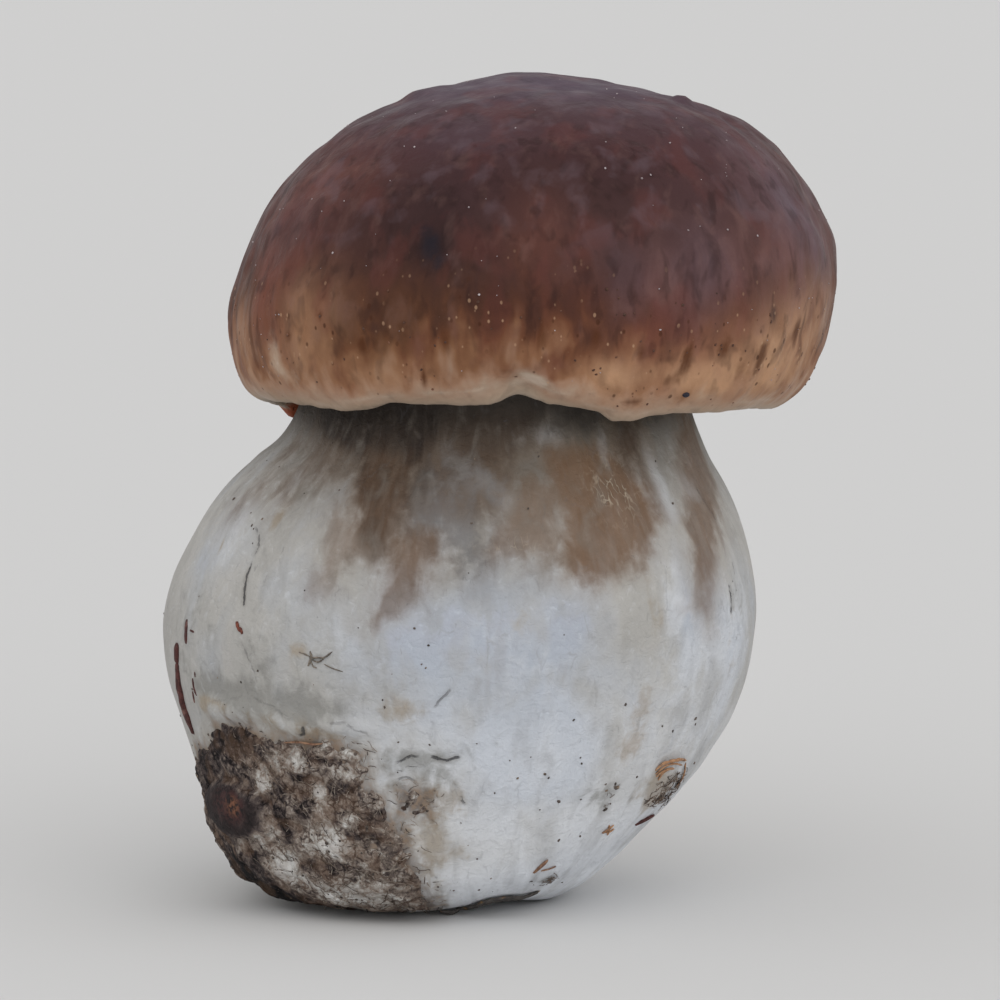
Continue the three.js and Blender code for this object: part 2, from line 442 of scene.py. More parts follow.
print("skin read:", coarseRings, "rings, drawn again as", skin["rings"])

# what marks the stem and the cap

stemMarks = {
    # how far down it is dingy with grime and painted shade under the cap: azimuth, z
    "hem": [
        (0, 65), (60, 61), (110, 64), (160, 60), (190, 66), (206, 64), (226, 60.5), (244, 58.5), (256, 56),
        (270, 53.5), (284, 55.5), (296, 58), (312, 59), (322, 62), (334, 64), (360, 65),
    ],
    # brown stains: strength, darkness, corners as azimuth and z
    "stains": [
        (0.95, 0.72, [(235, 67.6), (247, 69), (260, 68.4), (259.4, 65.5), (258.7, 62.1), (258, 58.9),
                      (257.6, 55.4), (252.4, 53.4), (247, 53.9), (245, 57.9), (242.8, 61.8), (241, 64.4)]),
        (0.75, 0.4, [(253, 56), (257.5, 56.4), (265.4, 56.2), (266, 53), (263, 50.4), (259.2, 48.3),
                     (255.9, 45.4), (253.9, 44.8), (255.8, 49.5), (255.4, 52.4)]),
        (0.36, 0.1, [(240.2, 58.2), (246.2, 57.2), (248.4, 54.1), (244.9, 52.6), (242.1, 49.1), (240, 48.2),
                     (241.2, 51.4)]),
        (0.5, 0.2, [(286, 62.8), (293, 62), (291.4, 53.4), (277.8, 53.8), (279.4, 56.7), (283, 59.8)]),
        (0.85, 0.25, [(294.6, 66.4), (303, 66.6), (311, 66), (316.4, 63.2), (319, 61), (318.4, 56),
                      (312.2, 52.8), (309.3, 51), (302.2, 50.1), (299.9, 49.2), (293.4, 50.4),
                      (293.4, 54.9), (294, 60)]),
        (0.85, 0.8, [(316.9, 70.5), (324.5, 70), (316.8, 61.2), (311.4, 61.4)]),
        (0.75, 0.35, [(348, 70.4), (356, 68), (352.6, 61.6), (346, 58.6), (337.6, 53.4), (330.6, 48.2),
                      (326.8, 43.3), (324.5, 44.8), (324.2, 50.3), (326.8, 55.5), (336.6, 63.2)]),
        (0.55, 1, [(255, 66.5), (262, 66), (271, 66.4), (276, 63), (270, 61.6), (262, 61),
                     (257.6, 61.6)]),
        # the next three bands, right under the cap, are painted shade as much as stain
        (1, 1, [(206, 72), (264.4, 73), (264.6, 66), (262, 62.8), (254, 63), (246, 63.4), (239, 65),
                    (226, 66.2), (214, 67.4)]),
        (0.5, 0.8, [(184, 71), (210, 72), (212, 68), (200, 69)]),
        (0.8, 0.85, [(264, 72), (292, 72), (291, 67.8), (286, 66.8), (281, 62.6), (276.8, 62.6),
                     (272, 64.2), (268, 62.8), (263, 63.2)]),
        (0.5, 0.65, [(259, 67.6), (271, 67.4), (283, 65.6), (284, 61.6), (277.6, 58.4), (269, 58),
                     (261.6, 59.8), (258.6, 63)]),
        (0.5, 0.6, [(212, 67.4), (226, 66.6), (239, 65.4), (239.6, 64), (231, 62.4), (221, 64)]),
        (0.55, 0.5, [(204.6, 61.6), (207.6, 60.8), (208.6, 59), (205.8, 59.6)]),
        (0.6, 0.6, [(215.6, 62.2), (219.6, 61.6), (220.6, 59.2), (216.4, 60)]),
        (0.5, 0.6, [(216.6, 65.6), (223.6, 65), (221.6, 62.2), (217.6, 63)]),
        (0.5, 0.5, [(201.6, 66.4), (206.6, 66), (205.4, 63.6), (201.6, 64.4)]),
        (0.6, 0.6, [(201.2, 58.2), (204.4, 57.4), (204.8, 55.8), (201.6, 56.4)]),
        # the side that is turned away
        (0.6, 0.5, [(20, 72), (52, 72), (47, 63), (41, 55), (36, 52), (33, 58), (24, 65)]),
        (0.5, 0.2, [(84, 72), (108, 72), (104, 64), (101, 56), (95, 52), (91, 57), (88, 64)]),
        (0.6, 0.45, [(134, 72), (168, 72), (164, 63), (156, 58), (150, 50), (146, 51), (142, 60)]),
    ],
    # azimuth, z, mm across, mm along, strength
    # pale patches: partly pale flesh, partly painted light on the right and low down
    "chalkAndLight": [
        (323.5, 61, 1.5, 6.5, 0.75), (333, 60, 4, 3, 0.5), (317.5, 48, 2.4, 5.5, 0.6),
        (310.6, 66.5, 0.9, 3.2, 0.6), (290.6, 69.4, 3, 2, 0.3), (265.6, 66, 1.8, 2.8, 0.5),
        (275.6, 63, 2.8, 3.4, 0.55), (267.5, 59.6, 3.2, 3, 0.42), (270.5, 56.4, 3, 2.6, 0.4),
        (282, 60.2, 2.4, 3.2, 0.45), (296.5, 68.4, 4, 1.8, 0.42), (233, 56, 4.5, 6, 0.35),
        (336, 34, 8, 13, 0.5), (214, 28.8, 4.5, 1.4, 0.7), (212, 50, 3.5, 7, 0.3), (246, 41, 5, 7, 0.35),
        (275, 44, 6, 5, 0.2), (292, 32, 12, 10, 0.2), (322, 34, 5, 12, 0.55), (332, 14, 6, 10, 0.6),
        (300, 8, 9, 5, 0.5), (30, 30, 14, 14, 0.4), (110, 34, 12, 12, 0.4), (287, 24, 7, 5, 0.5),
        (284, 40, 7, 6, 0.12), (286, 5, 9, 2, 0.5), (315, 7, 7, 4, 0.6), (206, 55, 6, 5, 0.4),
        (338, 40, 6, 10, 0.4),
    ],
    # painted cool sky light
    "paintedSkyBlue": [
        (268, 44, 11, 9, 0.9), (268, 60, 6, 5, 0.7), (290, 38, 9, 12, 0.7), (262, 33, 10, 8, 0.5),
        (284, 26, 10, 9, 0.8), (236, 47, 6, 6, 0.4), (320, 46, 2.4, 9, 0.7), (150, 30, 16, 14, 0.5),
        (60, 40, 14, 12, 0.4), (250, 44, 8, 8, 0.5), (336, 36, 8, 12, 0.6), (288, 24, 9, 6, 0.6),
        (205, 52, 6, 8, 0.35),
    ],
    "straw": [
        (223.1, 57, 0.9, 2, 0.9), (211, 30.6, 4.4, 0.7, 0.9), (206.4, 29.6, 1.4, 1, 0.9),
        (218, 29.2, 4, 1.2, 0.25), (230, 29.6, 4.4, 1.6, 0.5), (259, 32.4, 2.6, 1.9, 0.8),
        (310.4, 30, 1.8, 4.4, 0.55), (309.8, 24.6, 2.4, 3, 0.45), (322, 20.4, 1.6, 2.4, 0.9),
        (325, 17.4, 2, 3, 0.8), (264, 13.4, 3, 2.8, 0.75), (268, 10.8, 3.4, 3, 0.3),
        (282.6, 44.4, 2, 2.4, 0.4), (205.8, 52, 0.5, 1.5, 0.9), (237.4, 39.8, 1.5, 1, 0.8),
        (243, 28.4, 4.5, 1, 0.7), (265, 18.6, 4.4, 3.4, 0.4), (262, 6.6, 2.4, 3.6, 0.45),
        (311.6, 45, 2, 4, 0.5), (324.6, 17.8, 4.5, 3, 0.5), (337, 38, 4, 7, 0.25),
    ],
    # painted shade in the fold over the crust and along creases, elsewhere a grey tone
    "greyAndShade": [
        (213, 33, 7, 2.6, 0.85), (224, 32.2, 4.6, 2.4, 0.85), (236, 32.4, 5, 3, 0.6),
        (203.6, 40, 6, 6, 0.45), (238, 31.6, 5, 2, 0.5), (228, 40, 4, 5, 0.3), (246, 36, 4, 3, 0.25),
        (262, 25.6, 5, 1.4, 0.5), (244, 52, 4, 3, 0.3), (229, 61, 3.4, 1.6, 0.6), (301, 5.4, 1.8, 1.2, 0.7),
        (256.4, 21.4, 1.2, 0.7, 1), (294, 6, 3, 1.4, 0.3), (258, 24, 4, 1.6, 0.4), (292, 54, 7, 3, 0.25),
        (340, 44, 3, 9, 0.25), (304, 18.4, 2.4, 2.6, 0.35), (273, 27, 6, 4, 0.3), (265, 22.6, 3, 2.2, 0.5),
    ],
    # painted shade below the neck, with some grime
    "slateGrimeAndShade": [
        (263.5, 60, 4, 4, 0.6), (271, 57, 5, 4, 0.55), (268, 64.6, 4.4, 3, 0.8), (275, 61, 2.6, 3, 0.3),
        (259, 56, 3, 3, 0.35), (280, 63, 3, 3, 0.3), (262, 52, 3, 3, 0.4), (272, 52.4, 4, 2.4, 0.3),
        (243, 66, 4, 2, 0.3),
    ],
    "net": [(309, 61, 3.2, 3.8, 1.2), (193.6, 54.4, 2.0, 1.6, 0.8), (282, 54.6, 4.0, 0.9, 0.6)],
    "cracks": [
        (1, [(220.5, 50.9), (220.3, 49.1), (221, 46.9), (221.8, 44.7)]),
        (0.45, [(215.7, 55.6), (218.5, 54.2), (220.1, 53.1), (220.4, 51.3)]),
        (0.34, [(222.2, 40.8), (224.4, 38.4), (225.6, 36.1), (226.7, 33.4)]),
        (0.26, [(205.7, 29), (211, 30.6), (216, 31.6), (221, 32.4), (225, 33.3), (228, 34.2)]),
        (0.3, [(222, 32.6), (226.6, 32.2), (230.6, 31.4), (234.4, 30.4), (237.4, 29.2)]),
        (0.8, [(237.6, 29.6), (237.2, 28.4), (236, 27.6)]),
        (0.34, [(241.6, 30.3), (247.1, 30.3), (251.2, 29), (252.4, 27.6)]),
        (1.4, [(264.3, 25.5), (267.4, 25.2), (270.1, 25.3)]),
        (0.6, [(256.8, 24.3), (260.1, 25.6), (262.2, 25.4)]),
        (0.45, [(265, 32.1), (266.6, 33.8), (269.5, 35.8)]),
        (0.5, [(270.5, 20), (271, 19), (271.4, 18)]),
        (0.4, [(251.9, 35), (251.3, 32.9)]),
        (1.2, [(336, 46.3), (337, 45.6), (336.9, 44.2), (336.1, 42.6)]),
        (0.35, [(341, 50), (341.6, 47.5)]),
        (0.35, [(337.5, 62), (339.5, 57), (341, 52.5)]),
        (0.4, [(256, 22), (259, 22.6), (261.5, 22)]),
    ],
}
capMarks = {
    "bruises": [
        (248.8, 95.3, 1.4, 2, 0, 0.85), (247.2, 97.4, 0.8, 1.3, 20, 0.75),
        (250.8, 93.2, 0.8, 1.1, -20, 0.7), (238.4, 83.9, 0.7, 1, 0, 0.4), (323.6, 85.2, 0.6, 0.9, 0, 0.8),
        (345, 110.6, 0.7, 2, -30, 0.5),
    ],
    # azimuth, z, mm across, mm along, strength
    "dark": [
        (222, 99, 9, 7, 0.32), (236, 103, 9, 6, 0.3), (269, 105, 14, 7, 0.5), (289, 103.5, 8, 10, 0.36),
        (250, 93, 6.5, 9, 0.45), (249, 95.5, 3, 3, 0.6), (287, 96, 7, 7, 0.3), (262, 87, 17, 5, 0.4),
        (316, 106, 4, 2, 0.3), (238, 99, 8, 8, 0.2), (100, 96, 18, 14, 0.5), (20, 92, 9, 9, 0.3),
    ],
    "warm": [
        (297.5, 75.4, 2.4, 1.6, 0.6), (219.5, 104, 9, 5, 0.5), (209, 88, 5, 9, 0.7), (222, 92, 6, 7, 0.35),
        (272, 98, 6, 9, 0.4), (312, 84, 5, 5, 0.4), (294, 85.5, 4, 5, 0.5), (306, 80, 6, 3, 0.4),
        (281, 90, 3, 4, 0.4), (150, 88, 12, 8, 0.6), (60, 86, 14, 8, 0.5),
    ],
    # painted cool sky sheen on the top and the right
    "coldSheen": [
        (267, 116, 22, 9, 0.7), (338, 97.5, 6, 7, 1), (331, 104, 8, 8, 0.5), (290, 91, 3, 5, 0.5),
        (305, 92, 6, 6, 0.6), (345, 90, 4, 5, 0.5), (252, 110, 10, 5, 0.3), (210, 98, 5, 5, 0.3),
        (120, 108, 14, 9, 0.5),
    ],
    "rosy": [
        (294, 92, 6, 9, 0.4), (278, 98, 7, 8, 0.3), (300, 90, 8, 8, 0.5), (318, 92, 8, 9, 0.7),
        (335, 93, 7, 11, 0.9), (205, 96, 6, 12, 0.8), (218, 102, 8, 7, 0.5), (330, 105, 8, 5, 0.4),
        (0, 96, 20, 14, 0.6), (180, 96, 14, 14, 0.5), (60, 100, 18, 12, 0.4), (130, 100, 18, 12, 0.4),
    ],
    "olive": [(245, 85, 8, 5, 0.8), (236, 81, 7, 4, 0.6), (262, 80, 8, 3, 0.4), (222, 82, 5, 4, 0.4)],
    "tan": [
        (334, 81, 8, 6, 1), (322, 78, 9, 3.4, 0.9), (222, 86, 6, 6, 0.45), (332, 79, 8, 3, 0.6),
        (318, 83, 7, 4, 0.34), (337, 86, 6, 6, 0.7), (300, 81, 6, 3.4, 0.12), (345, 86, 6, 5, 0.5),
        (200, 82, 5, 6, 0.6), (214, 78, 6, 3, 0.5), (305, 76.5, 8, 3, 0.6), (318, 76.5, 10, 3, 0.8),
        (286, 78, 4, 2.4, 0.5), (290, 77, 6, 3, 0.4), (240, 77.5, 6, 2, 0.4), (90, 78, 30, 4, 0.6),
        (20, 78, 20, 5, 0.7),
    ],
    "brown": [
        (302.8, 79.5, 1.1, 2.6, 1), (311.4, 80.6, 1.4, 2.2, 0.9), (322.1, 79.4, 1.2, 3, 1),
        (293, 81, 1.1, 1.6, 0.8), (283.2, 82.9, 1.2, 1.8, 0.6), (292.1, 73.8, 2, 0.7, 0.45),
        (299.6, 76.6, 1.8, 1.8, 0.5), (247.6, 77.8, 0.6, 1.6, 0.9), (203.4, 84, 0.8, 7, 0.9),
        (217, 82.4, 0.9, 1.2, 0.7), (226, 85.4, 0.7, 0.9, 0.8), (235.4, 82, 0.9, 1.6, 0.8),
        (253, 83, 1, 2.2, 0.5), (262, 81.4, 1.2, 2, 0.5), (272, 82.6, 1.1, 2.4, 0.6),
        (333, 82, 1.2, 3, 0.7), (316.6, 77.6, 1.1, 1.8, 0.6), (150, 82, 2, 4, 0.7), (120, 80, 1.6, 4, 0.7),
        (92, 81, 2, 3.4, 0.7), (60, 80, 2, 4, 0.7), (30, 82, 1.8, 4, 0.7), (2, 80, 1.6, 3.6, 0.7),
    ],
    # the spot at 270.6, 77.2 by the notch is a painted highlight; the rest is the pale edge
    "paleEdgeAndHighlight": [
        (212.6, 78.6, 1.7, 3.4, 0.6), (215.5, 76.6, 2.4, 1.6, 0.35), (270.6, 77.2, 2.4, 1.1, 1.2),
        (266.4, 76.6, 1.6, 0.8, 0.5), (222, 72.8, 5, 1, 0.45), (230.4, 73.6, 3, 0.8, 0.35),
        (238, 74.4, 4, 0.8, 0.4), (249.6, 75.4, 3, 0.7, 0.45), (258, 75.6, 3, 0.7, 0.5),
        (276.4, 75, 3, 0.8, 0.45), (287, 73.2, 4, 0.8, 0.5), (297, 72.6, 3, 0.9, 0.35),
        (309, 72.8, 4, 0.8, 0.35), (324, 72.6, 4, 0.9, 0.4), (334.7, 72.2, 4, 1, 0.45),
    ],
}

degree = math.pi / 180


def grainCoordinates():
    # mm round the stem or cap and mm up the skin, bent into a ring so that streaks have no seam
    turn = np.where(onStem, stemTurn, capTurn) * degree
    return np.stack([skin["radius"] * np.cos(turn), skin["radius"] * np.sin(turn), climb], axis=2)


stain, stainShare, darkStainAndShade = patchField(stemMarks["stains"])
hem = np.interp(stemTurn, *zip(*stemMarks["hem"]))
stemTones = {name: softField(stemMarks[name]) for name in ("chalkAndLight", "paintedSkyBlue", "straw", "greyAndShade", "slateGrimeAndShade", "net")}
capTones = {name: softField(capMarks[name], cap=True) for name in capMarks if name != "bruises"}
crackAcross, crackOpen = crackField(stemMarks["cracks"])
bruise, bruiseShade = markField(capMarks["bruises"], cap=True)

# earth on the foot: corners of each patch as [azimuth, z]

earth = {
    "crust": [
        (189, 18.5), (195, 22.6), (199, 23.6), (203, 23.9), (207, 25.6), (210.5, 27.4), (219, 28.4),
        (225.8, 28), (231.7, 26.7), (241.7, 27.4), (250.4, 26.2), (250.2, 21.2), (253.2, 19.4), (255, 15.5),
        (257.8, 13), (258.8, 9.8), (260, 6.7), (264, 3.6), (262, 1.2), (245, 0.9), (228, 0.7), (206, 0.9),
        (192, 3.5), (186, 10), (187, 15.5),
    ],
    "patch": [(257.2, 20.4), (260.2, 21), (264, 20.2), (265, 18.1), (263, 16.6), (259.4, 16.4), (257, 17.8)],
}

soil = np.maximum(*(insidePatch(stemTurn, grid[..., 2], corners) for corners in earth.values()))
soil = np.where(onStem, soil, farOff)
print("marks placed on the stem and the cap")

# relief: the skin sinks into its cracks and folds over the earth

relief = {
    "lumps": [(13, 0.38, 4), (5.2, 0.2, 5)],  # mm across, mm high, seed
    "neckRidges": (3.4, 0.22, 9),
    "neckFrom": (40, 62),  # mm up where the ridges start and are full
    "capFlames": (2.6, 0.21, 3),
    "flamesFrom": (1, 5),  # mm above the rim where they start and are full
    "flamesTo": (24, 40),
    "capLumps": (4.4, 0.28, 17),
    "capLumpsFrom": (4, 14),
    "standing": (0.3, 4),  # mm up, where the skin starts to move and where it does so fully
    "crackWidth": 0.45,
    "crackDepth": 0.28,
    # bumps and, below 0, hollows: mm high, mm inside their marks where they start and where they are full,
    # whether they are on the cap, and for each mark azimuth, z, mm across, mm along and degrees turned
    "bumps": {
        "lipOverCrust": (1, -1, 1.2, False, [
            (218, 30.4, 7.5, 1.6, 6), (233, 29.6, 4.5, 1.4, -16), (246, 29.4, 4.5, 1.2, -6),
        ]),
        "nub": (0.8, -1.2, 0.6, True, [(344, 113.6, 1.3, 0.9, 0)]),
        "creaseByNub": (-0.5, -1.5, 0.6, True, [(345, 110.6, 1.2, 2.8, -30)]),
        "crownCorner": (0.6, -2, 1, True, [(182, 114.6, 6, 2.4, 0)]),
        "notchHollow": (-0.5, -2, 1, True, [(268.5, 76.5, 2.2, 1.6, 0)]),
    },
    "rimReach": 2.4,  # mm either side of the rim's lowest edge
    "rimRipple": (3.2, 0.22, 23),
    # how far the rim is raised or, below 0, let down: azimuth, mm
    "rimLine": [
        (151, 0), (154, -1.4), (156, -1.4), (159, 0), (196, 0), (213, -0.43), (218, -0.55), (227, -0.14),
        (237, 0.43), (241, 0.2), (246, -0.4), (251, -0.15), (256, -0.4), (258.5, -0.85), (260.5, -1.5),
        (263, -1.7), (265.4, -1.4), (267.6, -1), (270, -0.3), (272, 0.25), (274, 0.05), (276.6, 0.45),
        (279, 0.7), (281.4, 0.95), (286.4, 0.9), (289.8, -0.35), (294, -0.5), (298, -0.25), (306, 0),
        (330, 0),
    ],
}


def noiseOn(points, size, seed=0):
    # about -1 to 1, with lumps of that size in mm
    flat = points.reshape(-1, 3) / size + (seed * 7.3, seed * 3.1, seed * 5.7)
    values = np.fromiter((noise.noise(Vector(p)) for p in flat), float, len(flat))
    return values.reshape(points.shape[:-1])


def ripple(points, size, high, seed):
    return high * noiseOn(points, size, seed)


shift = np.zeros(climb.shape)
for lump in relief["lumps"]:
    shift += ripple(grid, *lump)
neck = smooth(grid[..., 2], *relief["neckFrom"]) * onStem
shift += ripple(grid * (1, 1, 0.5), *relief["neckRidges"]) * neck
shift -= relief["crackDepth"] * crackOpen * np.exp(-(crackAcross / relief["crackWidth"]) ** 2)
for high, start, full, isOnCap, marks in relief["bumps"].values():
    shift += high * smooth(markField(marks, isOnCap)[0], start, full)
grain = grainCoordinates()
lowerCap = onCap * smooth(rimClimb, *relief["flamesFrom"]) * (1 - smooth(rimClimb, *relief["flamesTo"]))
shift += ripple(grain * (1, 1, 0.16), *relief["capFlames"]) * lowerCap
shift += ripple(grid, *relief["capLumps"]) * onCap * smooth(rimClimb, *relief["capLumpsFrom"])
standing = smooth(grid[..., 2], *relief["standing"])  # nothing moves where it stands on the floor
grid += outWay * (shift * standing)[..., None]
rimMove = np.interp(capTurn, *zip(*relief["rimLine"])) + ripple(grain * (1, 1, 0), *relief["rimRipple"])
grid[..., 2] += rimMove * np.exp(-(rimClimb / relief["rimReach"]) ** 2)
print("the skin has its relief")


def gridMesh(name, points):
    # a closed skin from rings of points whose first and last rings are poles
    rings, columns = points.shape[:2]
    verts = [points[0, 0]] + list(points[1:-1].reshape(-1, 3)) + [points[-1, 0]]

    def at(ring, column):
        return 1 + (ring - 1) * columns + column % columns

    faces = []
    for c in range(columns):
        faces.append((0, at(1, c + 1), at(1, c)))
        faces.append((len(verts) - 1, at(rings - 2, c), at(rings - 2, c + 1)))
    for r in range(1, rings - 2):
        for c in range(columns):
            faces.append((at(r, c), at(r, c + 1), at(r + 1, c + 1), at(r + 1, c)))
    mesh = bpy.data.meshes.new(name)
    mesh.from_pydata([tuple(v * mm) for v in verts], [], faces)
    mesh.shade_smooth()
    return mesh


def gridValues(values):
    return np.concatenate([values[:1, 0], values[1:-1].reshape(-1, *values.shape[2:]), values[-1:, 0]])


def storeValues(mesh, name, values):
    values = np.asarray(values, np.float32)
    if values.ndim == 2:
        mesh.attributes.new(name, "FLOAT_VECTOR", "POINT").data.foreach_set("vector", values.ravel())
    else:
        mesh.attributes.new(name, "FLOAT", "POINT").data.foreach_set("value", values)


def addPiece(name, mesh, slot, *nodes):
    piece = bpy.data.objects.new(name, mesh)
    scene.collection.objects.link(piece)
    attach(piece, "root")
    if nodes:
        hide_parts(*nodes)
    return piece


# short ways to write a material, all in mm

def calc(operation, a, b=None):
    return wired("ShaderNodeMath", {"operation": operation}, {0: a, 1: b})


def newMaterial(name, look):
    material = bpy.data.materials.new(name)
    material.use_nodes = True
    tree = material.node_tree
    shader = tree.nodes["Principled BSDF"]
    shader.inputs["Roughness"].default_value = look["roughness"]
    shader.inputs["Specular IOR Level"].default_value = look["specular"]
    return material, tree, shader


def readValue(tree, name, output="Fac"):
    return Wire(addNode(tree, "ShaderNodeAttribute", {"attribute_name": name}).outputs[output])


def placeInMm(tree):
    place = Wire(addNode(tree, "ShaderNodeTexCoord").outputs["Object"])
    return scaled(place, (1000, 1000, 1000))


def scaled(vector, by):
    return wired("ShaderNodeVectorMath", {"operation": "MULTIPLY"}, {0: vector, 1: by})


def noiseAt(vector, size, detail=3, rough=0.55, twist=0):
    return wired("ShaderNodeTexNoise", None, {
        "Vector": vector,
        "Scale": 1 / size,
        "Detail": detail,
        "Roughness": rough,
        "Distortion": twist,
    }, "Fac")


def swirled(vector, scale, detail, by):
    # pushed about, so that what is drawn over it loses its straight sides
    cloud = wired("ShaderNodeTexNoise", None, {"Vector": vector, "Scale": scale, "Detail": detail}, "Color")
    return wired("ShaderNodeVectorMath", {"operation": "MULTIPLY_ADD"}, {0: cloud, 1: by, 2: vector})


def cellsAt(vector, size, feature="F1", output="Distance"):
    return wired("ShaderNodeTexVoronoi", {"feature": feature}, {"Vector": vector, "Scale": 1 / size}, output)


def fade(value, low, high, toLow=0, toHigh=1):
    ends = {0: value, 1: low, 2: high, 3: toLow, 4: toHigh}
    return wired("ShaderNodeMapRange", {"interpolation_type": "SMOOTHSTEP"}, ends)


def blend(share, under, over, mode="MIX"):
    colours = [paint(one) if isinstance(one, str) else one for one in (under, over)]
    settings = {"data_type": "RGBA", "blend_type": mode}
    return wired("ShaderNodeMix", settings, {0: share, 6: colours[0], 7: colours[1]}, 2)


def tint(colour, share, look):
    # towards another colour, by no more than the strength that comes with it
    code, most = look
    return blend(share * most, colour, code)


def rampOf(value, stops):
    made = wired("ShaderNodeValToRGB", None, {0: value})
    band = made.socket.node.color_ramp
    while len(band.elements) < len(stops):
        band.elements.new(0.5)
    for element, (place, colour) in zip(band.elements, stops):
        element.position = place
        element.color = paint(colour)
    return made


def feed(shader, name, value):
    shader.id_data.links.new(value.socket, shader.inputs[name])


def roughen(shader, height, distance):
    feed(shader, "Normal", wired("ShaderNodeBump", None, {"Height": height, "Distance": distance * mm}))


# the cap's brown skin

capSkin = {
    "roughness": 0.55,
    "specular": 0.07,
    "heights": [  # mm above the rim, and the colour there
        # the paler, bluer stops towards the crown are painted sky sheen
        (0, "#bbab9a"), (1.4, "#bfa994"), (3, "#b99b85"), (5, "#b28d74"), (8, "#986d51"), (12, "#764b36"),
        (16, "#5b392c"), (21, "#4a302a"), (27, "#452f2e"), (33, "#473132"), (41, "#4e3436"), (50, "#513b3f"),
        (62, "#564550"),
    ],
    "flameReach": 10,  # mm that the edge between two colours climbs or sinks in a flame
    "swayReach": 4.5,  # and over a wider stretch
    "sizes": {  # mm across
        "flames": 3.1, "sway": 14, "dabs": 3, "smallDabs": 2.4, "clouds": 8, "reds": 6, "sheenFog": 4.4,
        "ragged": 1.8, "fleckPatches": 6, "wrinkles": 2.4, "fine": 0.6, "gloss": 5,
    },
    "areas": {  # colour and strength
        "olive": ("#6e4c33", 0.7),
        "tan": ("#c59b79", 0.9),
        "rosy": ("#7a554f", 0.75),
        "warm": ("#80493a", 0.62),
        # painted cool sky sheen
        "coldSheen": ("#605765", 0.6),
        "dark": ("#271a1b", 0.62),
    },
    "darkDab": ("#2c1c1b", 0.42),
    "paleDab": ("#86655f", 0.22),
    "redDab": ("#74403a", 0.22),
    # painted cool sheen near the top
    "sheenFog": ("#7a6a73", 0.24),
    "brown": ("#58331f", 0.84),
    # pale edge, and a painted highlight by the notch
    "paleEdgeAndHighlight": ("#d0c2b0", 0.84),
    "bruise": "#25222a",
    "flecks": [  # mm apart, the share of them left out, colour and strength
        (1.25, 0.66, ("#482a1c", 0.75)),
        (0.9, 0.78, ("#bf9a7c", 0.6)),
    ],
    "rust": "#a04a28",
    "rustAt": (-22.3, 20, 67.6),  # mm, under the rim at the left
    "rustSpread": 6,  # mm
    "rimRustSpread": 3.4,
    "wrinkleDepth": 0.42,
}


